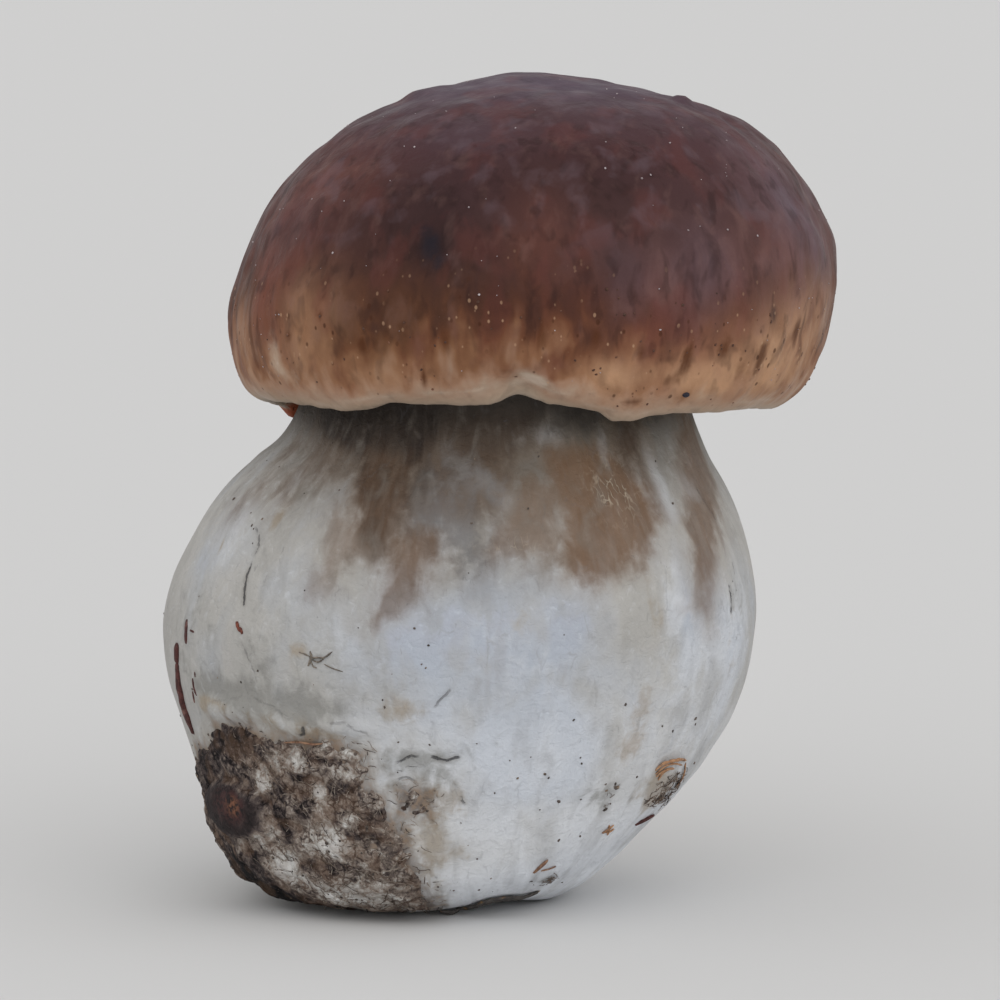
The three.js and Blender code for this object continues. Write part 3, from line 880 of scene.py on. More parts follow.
def makeCapSkin():
    material, tree, shader = newMaterial("capSkin", capSkin)
    size = capSkin["sizes"]
    place = placeInMm(tree)
    tall = scaled(place, (1, 1, 0.46))
    lessTall = scaled(place, (1, 1, 0.6))
    flat = scaled(place, (1, 1, 0.7))
    above = readValue(tree, "rimClimb")
    low = fade(above, 1.5, 7)
    flames = noiseAt(tall, size["flames"], 2, 0.5, 0.3)
    reach = (flames - 0.5) * (capSkin["flameReach"] * 2) * low * fade(above, 34, 12)
    sway = (noiseAt(place, size["sway"], 2) - 0.5) * (capSkin["swayReach"] * 2) * low
    top = capSkin["heights"][-1][0]
    stops = [(height / top, code) for height, code in capSkin["heights"]]
    colour = rampOf((above - reach + sway) * (1 / top), stops)
    # broad areas of other tones and a painted cool sheen, each broken up by soft dabs that run up the cap
    dabs = noiseAt(tall, size["dabs"], 3, 0.5, 0.3)
    clouds = noiseAt(flat, size["clouds"], 2, 0.5)
    broken = fade(dabs, 0.34, 0.66, 0.4, 0.85) + fade(clouds, 0.3, 0.7, 0, 0.5)
    for name, look in capSkin["areas"].items():
        colour = tint(colour, readValue(tree, name) * broken, look)
    # soft dabs over everything: darker, paler, redder, and a painted cool sheen near the top
    small = noiseAt(tall, size["smallDabs"], 2, 0.5, 0.4)
    strength = fade(above, 3, 14, 0.35, 1) * fade(above, 38, 58, 1, 0.4)
    colour = tint(colour, fade(small, 0.48, 0.3) * strength, capSkin["darkDab"])
    colour = tint(colour, fade(dabs, 0.52, 0.76) * strength, capSkin["paleDab"])
    reds = fade(noiseAt(lessTall, size["reds"], 3, 0.5, 0.2), 0.5, 0.66)
    colour = tint(colour, reds * low, capSkin["redDab"])
    sheenFog = fade(noiseAt(flat, size["sheenFog"], 3, 0.5, 0.3), 0.5, 0.7)
    colour = tint(colour, sheenFog * fade(above, 16, 36), capSkin["sheenFog"])
    # brown marks, bruises, the pale edge and a painted highlight by the notch
    brown = readValue(tree, "brown") + (small - 0.5) * 1.3
    colour = tint(colour, fade(brown, 0.2, 0.85), capSkin["brown"])
    ragged = (noiseAt(place, size["ragged"], 3) - 0.5) * 3.2
    bruises = fade(readValue(tree, "bruise") + ragged, -1.8, 1.6)
    colour = blend(bruises * readValue(tree, "bruiseShade"), colour, capSkin["bruise"])
    paleEdgeAndHighlight = readValue(tree, "paleEdgeAndHighlight") + ragged * 0.2
    colour = tint(colour, fade(paleEdgeAndHighlight, 0.1, 1), capSkin["paleEdgeAndHighlight"])
    # brown and tan flecks in the lower half
    some = fade(noiseAt(place, size["fleckPatches"], 2), 0.4, 0.56)
    lower = fade(above, 27, 13) * fade(above, 1.5, 4)
    for apart, leftOut, look in capSkin["flecks"]:
        lucky = calc("GREATER_THAN", redOf(cellsAt(flat, apart, output="Color")), leftOut)
        wobbly = cellsAt(flat, apart) + (small - 0.5) * 0.4
        colour = tint(colour, fade(wobbly, 0.26, 0.12) * lucky * some * lower, look)
    fine = noiseAt(place, size["fine"], 3, 0.6)
    colour = blend(0.24, colour, blend(fine, "#6c6c6c", "#949494"), "OVERLAY")
    feed(shader, "Base Color", rusted(colour, place, capSkin["rimRustSpread"]))
    wrinkles = noiseAt(lessTall, size["wrinkles"], 3, 0.5, 0.4)
    roughen(shader, wrinkles * 0.8 + fine * 0.08, capSkin["wrinkleDepth"])
    feed(shader, "Roughness", fade(noiseAt(place, size["gloss"], 2), 0.3, 0.7, 0.42, 0.62))
    return material


def redOf(colour):
    return wired("ShaderNodeSeparateColor", None, {0: colour})


def rusted(colour, place, spread):
    away = wired("ShaderNodeVectorMath", {"operation": "DISTANCE"}, {0: place, 1: capSkin["rustAt"]}, "Value")
    return blend(fade(away, spread, spread * 0.4, 0, 0.9), colour, capSkin["rust"])


# the stem's pale flesh

stemFlesh = {
    "roughness": 0.68,
    "specular": 0.24,
    "sizes": {  # mm across
        "clouds": 8, "dabs": 3.6, "small": 1.5, "fibres": 1.5, "streaks": 2.8, "net": 1, "netPatches": 1.8,
        "scratches": 5.2, "scratchPatches": 3.6, "ticks": 0.6, "tickPatches": 4.4,
        "wobble": 0.9, "crackGaps": 1.3, "fine": 0.6,
    },
    # colours, most of them with a strength
    "warm": "#bdbbb7",
    # painted cool sky light
    "paintedSkyBlue": "#b7bfcc",
    "paintedSkyBlueMost": 0.7,
    # painted light towards the foot
    "foot": "#eaedf2",
    # pale flesh, and painted light
    "chalkAndLight": ("#d8dbe0", 0.7),
    "mottles": [  # the texture, where it starts, where it is full
        ("clouds", 0.5, 0.34, ("#a09d97", 0.24)),
        ("dabs", 0.52, 0.7, ("#8e8d8d", 0.14)),
        ("streaks", 0.5, 0.72, ("#918f8d", 0.2)),
        ("small", 0.58, 0.78, ("#77767a", 0.14)),
        ("small", 0.44, 0.26, ("#dcdfe4", 0.26)),
    ],
    # painted shade in folds and creases, and a grey tone
    "greyAndShade": ("#85847f", 0.6),
    "straw": ("#a39074", 0.55),
    # painted shade below the neck, with some grime
    "slateGrimeAndShade": ("#606368", 0.6),
    # grime, and painted shade under the cap
    "dingyAndShade": ("#60584f", 0.9),
    "stainEdge": ("#8e7862", 0.35),
    "stainLight": "#806045",
    # darkest stain colour, also painted shade right under the cap
    "darkStainAndShade": "#352b25",
    "stainDab": ("#a7a29a", 0.22),
    # painted shade right under the cap
    "paintedNeckShade": ("#28221e", 0.85),
    "net": ("#c6b8a4", 0.62),
    "grime": ("#988a77", 0.3),
    "soil": "#5d4d42",
    "paleSoil": "#8a715a",
    "soilMost": 0.8,
    "scratch": ("#6b6a6c", 0.14),
    "tick": ("#54555c", 0.26),
    # painted shade beside the cracks
    "shadeBesideCracks": ("#6f6a62", 0.32),
    "crack": ("#3b3a3e", 0.78),
    "bumpDepth": 0.55,
}


def makeStemFlesh():
    material, tree, shader = newMaterial("stemFlesh", stemFlesh)
    size = stemFlesh["sizes"]
    place = placeInMm(tree)
    grainWay = readValue(tree, "grain", "Vector")
    broad = scaled(grainWay, (1, 1, 0.65))
    clouds = noiseAt(broad, size["clouds"], 3, 0.5, 0.3)
    dabs = noiseAt(broad, size["dabs"], 4, 0.5, 0.5)
    small = noiseAt(place, size["small"], 4, 0.6, 0.4)
    fibres = noiseAt(scaled(grainWay, (1, 1, 0.24)), size["fibres"], 3, 0.5, 0.3)
    streaks = noiseAt(scaled(grainWay, (1, 1, 0.3)), size["streaks"], 3, 0.5, 0.3)
    ragged = (dabs - 0.5) + (small - 0.5) * 0.5
    softer = (dabs - 0.5) + (small - 0.5) * 0.24

    def area(name, spread):
        # a soft area whose edge breaks up into dabs
        field = readValue(tree, name)
        near = fade(field, 0, 0.25, spread * 0.35, spread)
        return fade(field + ragged * near, 0.1, 0.8)

    # bluish in the middle of the front: painted cool sky light over the warm flesh
    skyBlueShare = (readValue(tree, "paintedSkyBlue") + (clouds - 0.5) * 2).clamped()
    colour = blend(skyBlueShare * stemFlesh["paintedSkyBlueMost"], stemFlesh["warm"], stemFlesh["paintedSkyBlue"])
    # painted light: paler towards the foot
    colour = blend(readValue(tree, "foot"), colour, stemFlesh["foot"])
    # pale patches: partly pale flesh, partly painted light on the right and low down
    chalkAndLight = area("chalkAndLight", 1.6)
    colour = tint(colour, chalkAndLight, stemFlesh["chalkAndLight"])
    textures = {"clouds": clouds, "dabs": dabs, "streaks": streaks, "small": small}
    for name, start, full, look in stemFlesh["mottles"]:
        colour = tint(colour, fade(textures[name], start, full), look)
    # painted shade in the fold over the crust and along creases, and a grey tone
    colour = tint(colour, area("greyAndShade", 1.8), stemFlesh["greyAndShade"])
    colour = tint(colour, area("straw", 1.6), stemFlesh["straw"])
    # dingy towards the cap: grime, and painted shade under the cap
    dingyAndShade = fade(readValue(tree, "aboveHem") + ragged * 12, -13, 11) * (1 - chalkAndLight * 0.42)
    colour = tint(colour, dingyAndShade, stemFlesh["dingyAndShade"])
    # painted shade below the neck, with some grime
    colour = tint(colour, area("slateGrimeAndShade", 1.8), stemFlesh["slateGrimeAndShade"])
    # brown stains, ragged at the edge and softly uneven inside; the darkest, right under the cap, are painted
    # shade as well
    deep = readValue(tree, "stain") + softer * 7
    share = readValue(tree, "stainShare")
    body = (fade(deep, -2.1, 1.5) * share * fade(fibres, 0.3, 0.72, 1.04, 0.8)).clamped()
    body = body * fade(dabs, 0.5, 0.8, 1, 0.74) * (1 - area("chalkAndLight", 1.2) * 0.45)
    shade = (readValue(tree, "darkStainAndShade") + ragged * 0.5).clamped()
    colour = tint(colour, fade(deep, -5, 0.5) * share, stemFlesh["stainEdge"])
    colour = blend(body, colour, blend(shade, stemFlesh["stainLight"], stemFlesh["darkStainAndShade"]))
    colour = tint(colour, fade(dabs, 0.52, 0.78) * dingyAndShade, stemFlesh["stainDab"])
    # painted shade on the stem right under the cap
    paintedNeckShade = fade(readValue(tree, "neckDrop") + softer * 9, 11, 2)
    colour = tint(colour, paintedNeckShade, stemFlesh["paintedNeckShade"])
    # a pale net of fibres in a few places
    way = swirled(scaled(grainWay, (1, 1, 0.45)), 0.8, 2, (1.6, 1.6, 1.2))
    net = fade(cellsAt(way, size["net"], "DISTANCE_TO_EDGE"), 0.1, 0.02) * readValue(tree, "net")
    net = net * fade(noiseAt(place, size["netPatches"], 2), 0.42, 0.6)
    colour = tint(colour, net, stemFlesh["net"])
    # earth rubbed into the skin round the crust
    grime = readValue(tree, "soil") + ragged * 7
    colour = tint(colour, fade(grime, -3.4, 0.2), stemFlesh["grime"])
    soilColour = blend(fade(small, 0.42, 0.6), stemFlesh["soil"], stemFlesh["paleSoil"])
    colour = blend(fade(grime, -1.7, 1.9) * stemFlesh["soilMost"], colour, soilColour)
    # scratches, ticks and cracks
    scratches = cellsAt(scaled(way, (1, 1, 1.3)), size["scratches"], "DISTANCE_TO_EDGE")
    some = fade(noiseAt(place, size["scratchPatches"], 2), 0.54, 0.64)
    colour = tint(colour, fade(scratches, 0.035, 0.008) * some, stemFlesh["scratch"])
    ticks = noiseAt(scaled(place, (1, 1, 0.45)), size["ticks"], 2, 0.5, 0.6)
    some = fade(noiseAt(place, size["tickPatches"], 2), 0.5, 0.62)
    colour = tint(colour, fade(ticks, 0.67, 0.74) * some, stemFlesh["tick"])
    wobble = (noiseAt(place, size["wobble"], 3, 0.6) - 0.5) * 0.6
    offLine = abs(readValue(tree, "crackAcross") + wobble)
    openness = readValue(tree, "crackOpen")
    some = fade(noiseAt(place, size["crackGaps"], 2), 0.36, 0.5)
    line = fade(offLine, 0.24, 0.07) * fade(openness, 0.12, 0.7) * some
    # painted shade beside each crack
    crackShadeHalo = fade(offLine, 0.9, 0.1) * fade(openness, 0.1, 1)
    colour = tint(colour, crackShadeHalo, stemFlesh["shadeBesideCracks"])
    colour = tint(colour, line, stemFlesh["crack"])
    fine = noiseAt(place, size["fine"], 3, 0.6)
    feed(shader, "Base Color", blend(0.3, colour, blend(fine, "#6c6c6c", "#969696"), "OVERLAY"))
    height = small * 0.6 + fibres * 0.14 + fine * 0.1 - line * 0.45 + net * 0.2
    roughen(shader, height, stemFlesh["bumpDepth"])
    return material


# the pore layer under the cap

poreLayer = {
    "roughness": 0.75,
    "specular": 0.2,
    "flesh": "#cbbfa6",
    "darkFlesh": "#b9a98d",
    "edge": "#b3a28c",
    "pore": "#8f7f66",
    "poreSize": 0.75,
    "poreDepth": 0.3,
}


def makePoreLayer():
    material, tree, shader = newMaterial("poreLayer", poreLayer)
    place = placeInMm(tree)
    holes = fade(cellsAt(place, poreLayer["poreSize"]), 0.38, 0.16)
    colour = blend(noiseAt(place, 5, 3), poreLayer["darkFlesh"], poreLayer["flesh"])
    colour = blend(holes * 0.7, colour, poreLayer["pore"])
    colour = blend(fade(readValue(tree, "rimClimb"), -5, 0), colour, poreLayer["edge"])
    feed(shader, "Base Color", rusted(colour, place, capSkin["rustSpread"]))
    roughen(shader, 1 - holes, poreLayer["poreDepth"])
    return material


def footLight():
    # painted light: paler towards the foot, most of all at the right
    x, z = grid[..., 0], grid[..., 2]
    lower = 0.45 * smooth(z, 42, 24)
    right = 0.3 * smooth(z, 20, 13) * smooth(x, -4, 14)
    sole = 0.35 * smooth(z, 11, 5)
    return (lower + right + sole) * smooth(x, -24, 0)


def makeCepBody():
    mesh = gridMesh("cepBody", grid)
    values = {
        "grain": grain,
        "rimClimb": rimClimb,
        "neckDrop": neckDrop,
        "aboveHem": np.where(onStem, grid[..., 2] - hem, 0),
        "stain": stain,
        "stainShare": stainShare,
        "darkStainAndShade": darkStainAndShade,
        "crackAcross": crackAcross,
        "crackOpen": crackOpen,
        "soil": soil,
        "bruise": bruise,
        "bruiseShade": bruiseShade,
        "foot": footLight(),
        **stemTones,
        **capTones,
    }
    for name, field in values.items():
        storeValues(mesh, name, gridValues(field))
    mesh.materials.append(makeStemFlesh())
    mesh.materials.append(makePoreLayer())
    mesh.materials.append(makeCapSkin())
    kindAt = gridValues(np.where(onStem, 0, np.where(rimClimb < 0, 1, 2)))
    kinds = [int(max(kindAt[v] for v in face.vertices)) for face in mesh.polygons]
    mesh.polygons.foreach_set("material_index", kinds)
    return addPiece("cepBody", mesh, "mushroom_skin", "mushroom")


makeCepBody()
print("cap and stem are drawn")

# earth that clings to the foot, standing up out of the skin along a ragged edge

crust = {
    "roughness": 0.85,
    "specular": 0.2,
    "bumpDepth": 0.5,
    "spacing": 0.23,  # mm between its points
    "margin": (5, 2),  # degrees and mm past its outline
    "thickness": 0.55,
    "patchThickness": 0.1,
    "lumps": [(3.6, 0.55), (1.6, 0.3), (0.75, 0.13)],  # mm across, mm high
    "edgeNoise": [(2.4, 1.5), (0.9, 0.75)],  # mm across, mm in and out of the outline
    "edge": (-0.5, 1.2),  # mm inside the outline where it starts and where it is full
    "cutOff": -1.2,
    "root": 0.5,  # mm that its edge is sunk into the skin, and how much deeper its back lies
    "back": 0.35,
    "knob": (211, 15.2, 8.4, 4.1, 1.9),  # azimuth, z, mm across, mm along, mm high
    "knobBare": (14, 4.4),  # degrees and mm round the knob without crumbs
    "knobEdge": (1.05, 0.7),  # share of its size where it starts and where it is full
    "knobTone": 0.16,
    "embers": [  # rusty spots on the knob
        (213.4, 16.6, 3.3, 3.8, 0.54), (215.2, 16.4, 1.6, 2.2, 0.42), (208, 16.2, 3.4, 3.2, 0.34),
    ],
    "level": 0.56,  # how pale it is where no mark says otherwise
    "tones": [  # azimuth, z, mm across, mm along, how much paler or, below 0, darker
        (239, 12, 3, 2.3, 0.52), (222.3, 7.3, 3.8, 2, 0.52), (220.3, 13.7, 2.4, 2.1, 0.5),
        (239.8, 4.9, 6, 1.6, 0.42), (229.5, 23, 3.6, 2, 0.2), (246.3, 26.5, 3.4, 1.4, 0.3),
        (246.4, 22.6, 2, 1.4, 0.26), (223.1, 20.1, 1.4, 1.7, 0.6), (238.3, 19.4, 1.1, 1.3, 0.6),
        (233.6, 24.6, 1.6, 1.2, 0.26), (226.6, 9.6, 1.6, 2.2, 0.3), (211, 9.4, 1, 2.6, 0.25),
        (216.7, 25.5, 6.5, 2.4, -0.42), (203, 24.4, 4, 2, -0.2), (200, 20, 4.6, 12, -0.3),
        (212, 20.6, 5, 2.6, -0.16), (241.2, 24.5, 3.5, 0.5, -0.36), (245.1, 20.7, 2.5, 1.4, -0.34),
        (229.2, 17.1, 3.4, 2, -0.2), (227.7, 12.8, 1.4, 2.4, -0.34), (246.8, 13.8, 2, 1.7, -0.3),
        (239.1, 9.2, 3, 1.7, -0.34), (213.9, 8.5, 2.2, 2, -0.3), (216.4, 6, 2.4, 1.6, -0.3),
        # the darkest marks along the bottom edge are painted shade on the underside as well as dark soil
        (209, 3.6, 3, 2, -0.6), (200, 5, 5, 4, -0.34), (205, 2.4, 6, 2.2, -0.4), (216, 1.4, 8, 1.2, -0.5),
        (230, 0.8, 8, 1, -0.4), (206, 8, 3, 3, -0.2), (222, 3.8, 3.4, 1.2, -0.2), (217, 2.2, 5, 1.2, -0.6),
        (226, 1.2, 6, 0.9, -0.6), (234, 0.7, 5, 0.7, -0.5), (232.6, 8.4, 1.6, 1.2, -0.24),
        (249.6, 9, 3, 4, -0.14), (244.6, 10.4, 1.4, 2.4, -0.16), (250.6, 15.4, 1.2, 2.4, -0.16),
        (234.2, 21.4, 3.2, 0.7, -0.26), (222.6, 17.6, 1.6, 1.2, -0.2), (226.4, 20.4, 1, 1.8, -0.14),
        (256.4, 3.4, 3, 2, 0.06), (246, 7.4, 5, 4, 0.16), (246, 12, 4, 3, 0.12),
        (258.4, 18.6, 1.1, 1.8, -0.34), (263.2, 18.3, 1.5, 1.4, -0.24), (260.8, 19.4, 0.7, 1.1, 0.3),
    ],
    "shades": [
        (0, "#141112"), (0.2, "#342c2c"), (0.36, "#584e4b"), (0.5, "#766a62"), (0.64, "#978c83"),
        (0.8, "#b9b4ae"), (1, "#dcdad7"),
    ],
    "brown": "#7a5f4a",
    "glow": "#805843",
    "darkGlow": "#4a302f",
}


def patchMesh(name, corners, thickness, seed):
    cornerTurns, cornerHeights = np.array(corners).T
    pastTurn, pastHeight = crust["margin"]
    stemRings = fineRings[fineRings < neckTop]
    reach = [max(cornerHeights.min() - pastHeight, 0.05), cornerHeights.max() + pastHeight]
    lowRing, highRing = np.interp(reach, meanHeight[:len(stemRings)], stemRings)
    perColumn = 360 / coarseColumns
    lowColumn = (cornerTurns.min() - pastTurn) / perColumn
    highColumn = (cornerTurns.max() + pastTurn) / perColumn

    def spread(rows, columns):
        rings = np.linspace(lowRing, highRing, rows)
        return skinAt(rings[:, None], np.linspace(lowColumn, highColumn, columns)[None, :])

    probe = spread(60, 60)
    tall = np.linalg.norm(np.diff(probe, axis=0), axis=2).sum(axis=0).mean()
    wide = np.linalg.norm(np.diff(probe, axis=1), axis=2).sum(axis=1).mean()
    base = spread(int(tall / crust["spacing"]), int(wide / crust["spacing"]))
    out = normalised(np.cross(np.gradient(base, axis=1), np.gradient(base, axis=0)))
    turn = azimuthOf(base, skin["stemAxis"])
    deep = insidePatch(turn, base[..., 2], corners)
    deep = deep + sum(ripple(base, *noiseLook, seed + k) for k, noiseLook in enumerate(crust["edgeNoise"]))
    edge = smooth(deep, *crust["edge"])
    lumps = sum(ripple(base, *lump, seed + 2 + k) for k, lump in enumerate(crust["lumps"]))
    knobTurn, knobZ, knobAcross, knobAlong, knobHigh = crust["knob"]
    gap = np.hypot((turn - knobTurn) * skin["mmPerDegree"] / knobAcross, (base[..., 2] - knobZ) / knobAlong)
    gap = gap + 0.1 * noiseOn(base, 2.2, seed + 9)
    knob = smooth(gap, *crust["knobEdge"])
    dome = np.sqrt(np.clip(1 - np.maximum(gap, 0) ** 2, 0, 1))
    rise = edge * (crust["root"] + thickness + lumps * (1 - 0.85 * knob) + knobHigh * dome) - crust["root"]
    standing = smooth(base[..., 2], 0, 2.5)
    top = base + out * (np.where(rise > 0, rise * standing, rise))[..., None]
    top[..., 2] = np.maximum(top[..., 2], 0.03)
    under = base - out * (crust["root"] + crust["back"])
    under[..., 2] = np.maximum(under[..., 2], 0.01)
    kept = deep[:-1, :-1] > crust["cutOff"]
    return shellMesh(name, top, under, kept), base, turn, knob


def shellMesh(name, top, under, kept):
    # the kept cells of two grids, one over the other, closed round the edge
    rows, columns = top.shape[:2]
    offset = rows * columns
    faces = []
    for r, c in zip(*np.nonzero(kept)):
        a = r * columns + c
        b, d, e = a + 1, a + columns + 1, a + columns
        faces.append((a, b, d, e))
        faces.append((offset + e, offset + d, offset + b, offset + a))
        for i, j, r2, c2 in ((a, b, r - 1, c), (b, d, r, c + 1), (d, e, r + 1, c), (e, a, r, c - 1)):
            outside = not (0 <= r2 < rows - 1 and 0 <= c2 < columns - 1) or not kept[r2, c2]
            if outside:
                faces.append((j, i, offset + i, offset + j))
    mesh = bpy.data.meshes.new(name)
    points = np.concatenate([top.reshape(-1, 3), under.reshape(-1, 3)]) * mm
    mesh.from_pydata(points.tolist(), [], [tuple(int(i) for i in face) for face in faces])
    mesh.shade_smooth()
    return mesh


def tonesOf(base, turn, marks):
    field = np.zeros(turn.shape)
    for azimuth, z, across, along, strength in marks:
        gap = np.hypot((turn - azimuth) * skin["mmPerDegree"] / across, (base[..., 2] - z) / along)
        field += strength * np.exp(-gap ** 2)
    return field


def dropLoose(mesh):
    work = bmesh.new()
    work.from_mesh(mesh)
    bmesh.ops.delete(work, geom=[v for v in work.verts if not v.link_faces], context="VERTS")
    work.to_mesh(mesh)
    work.free()


def makeForestEarth():
    material, tree, shader = newMaterial("forestEarth", crust)
    place = placeInMm(tree)
    felt = noiseAt(place, 2, 4, 0.6, 0.8)
    crumbs = noiseAt(place, 0.85, 4, 0.62, 0.5)
    wires = noiseAt(scaled(place, (1, 1, 0.6)), 0.42, 3, 0.6, 1.8)
    clods = cellsAt(swirled(place, 0.7, 3, (2.6, 2.6, 2.6)), 1.9, "DISTANCE_TO_EDGE")
    strokes = fade(clods, 0.12, 0.02) * fade(noiseAt(place, 2.8, 2), 0.42, 0.58)
    uneven = (felt - 0.5) * 1.3 + (crumbs - 0.5) * 0.75 + (wires - 0.5) * 0.4 - strokes * 0.26
    onKnob = readValue(tree, "knob")
    tone = readValue(tree, "tone") + uneven * fade(onKnob, 0, 1, 1, 0.3)
    colour = rampOf(tone.clamped(), crust["shades"])
    brown = fade(noiseAt(place, 3.4, 3, 0.5), 0.44, 0.62, 0, 0.34) * fade(onKnob, 0.5, 0)
    colour = blend(brown, colour, crust["brown"])
    ember = readValue(tree, "ember")
    glow = blend(fade(ember, 0.6, 1.1), crust["darkGlow"], crust["glow"])
    colour = blend(fade(ember, 0.15, 0.9) * fade(crumbs, 0.38, 0.58), colour, glow)
    feed(shader, "Base Color", colour)
    height = wires * 0.5 + crumbs * 0.8 + fade(clods, 0.01, 0.16, 0, 0.3)
    roughen(shader, height * fade(onKnob, 0, 1, 1, 0.35), crust["bumpDepth"])
    return material


forestEarth = makeForestEarth()


def makeEarth(name, corners, thickness, seed, node):
    mesh, base, turn, knob = patchMesh(name, corners, thickness, seed)
    tone = crust["level"] + tonesOf(base, turn, crust["tones"])
    values = {
        "tone": tone * (1 - knob) + crust["knobTone"] * knob,
        "knob": knob,
        "ember": tonesOf(base, turn, crust["embers"]) * knob,
    }
    for key, field in values.items():
        storeValues(mesh, key, np.tile(field.ravel(), 2))
    dropLoose(mesh)
    mesh.materials.append(forestEarth)
    return addPiece(name, mesh, "forest_earth", node)


earthCrust = makeEarth("earthCrust", earth["crust"], crust["thickness"], 11, "earth_crust")
makeEarth("earthPatch", earth["patch"], crust["patchThickness"], 31, "earth_patch")
print("earth is on the foot")

# where a level ray towards an axis meets the skin or what lies on it

def treeOf(mesh):
    points = [v.co / mm for v in mesh.vertices]
    return BVHTree.FromPolygons(points, [tuple(face.vertices) for face in mesh.polygons])


surfaces = {
    "skin": treeOf(bpy.data.objects["cepBody"].data),
    "crust": treeOf(earthCrust.data),
}


def hitAt(surface, azimuth, z, axis="stemAxis"):
    way = Vector((math.cos(azimuth * degree), math.sin(azimuth * degree), 0))
    start = Vector((*skin[axis], z)) + way * 100
    place, normal, *_ = surfaces[surface].ray_cast(start, -way)
    return place, normal


def hitOutermost(azimuth, z):
    onSkin = hitAt("skin", azimuth, z)
    onCrust = hitAt("crust", azimuth, z)
    axis = Vector((*skin["stemAxis"], z))
    if onCrust[0] and (onCrust[0] - axis).length > (onSkin[0] - axis).length:
        return onCrust[0], onSkin[1]
    return onSkin


# scraps of litter, made of strips: mm wide, mm thick, and the path as azimuth, z, mm lifted off the skin

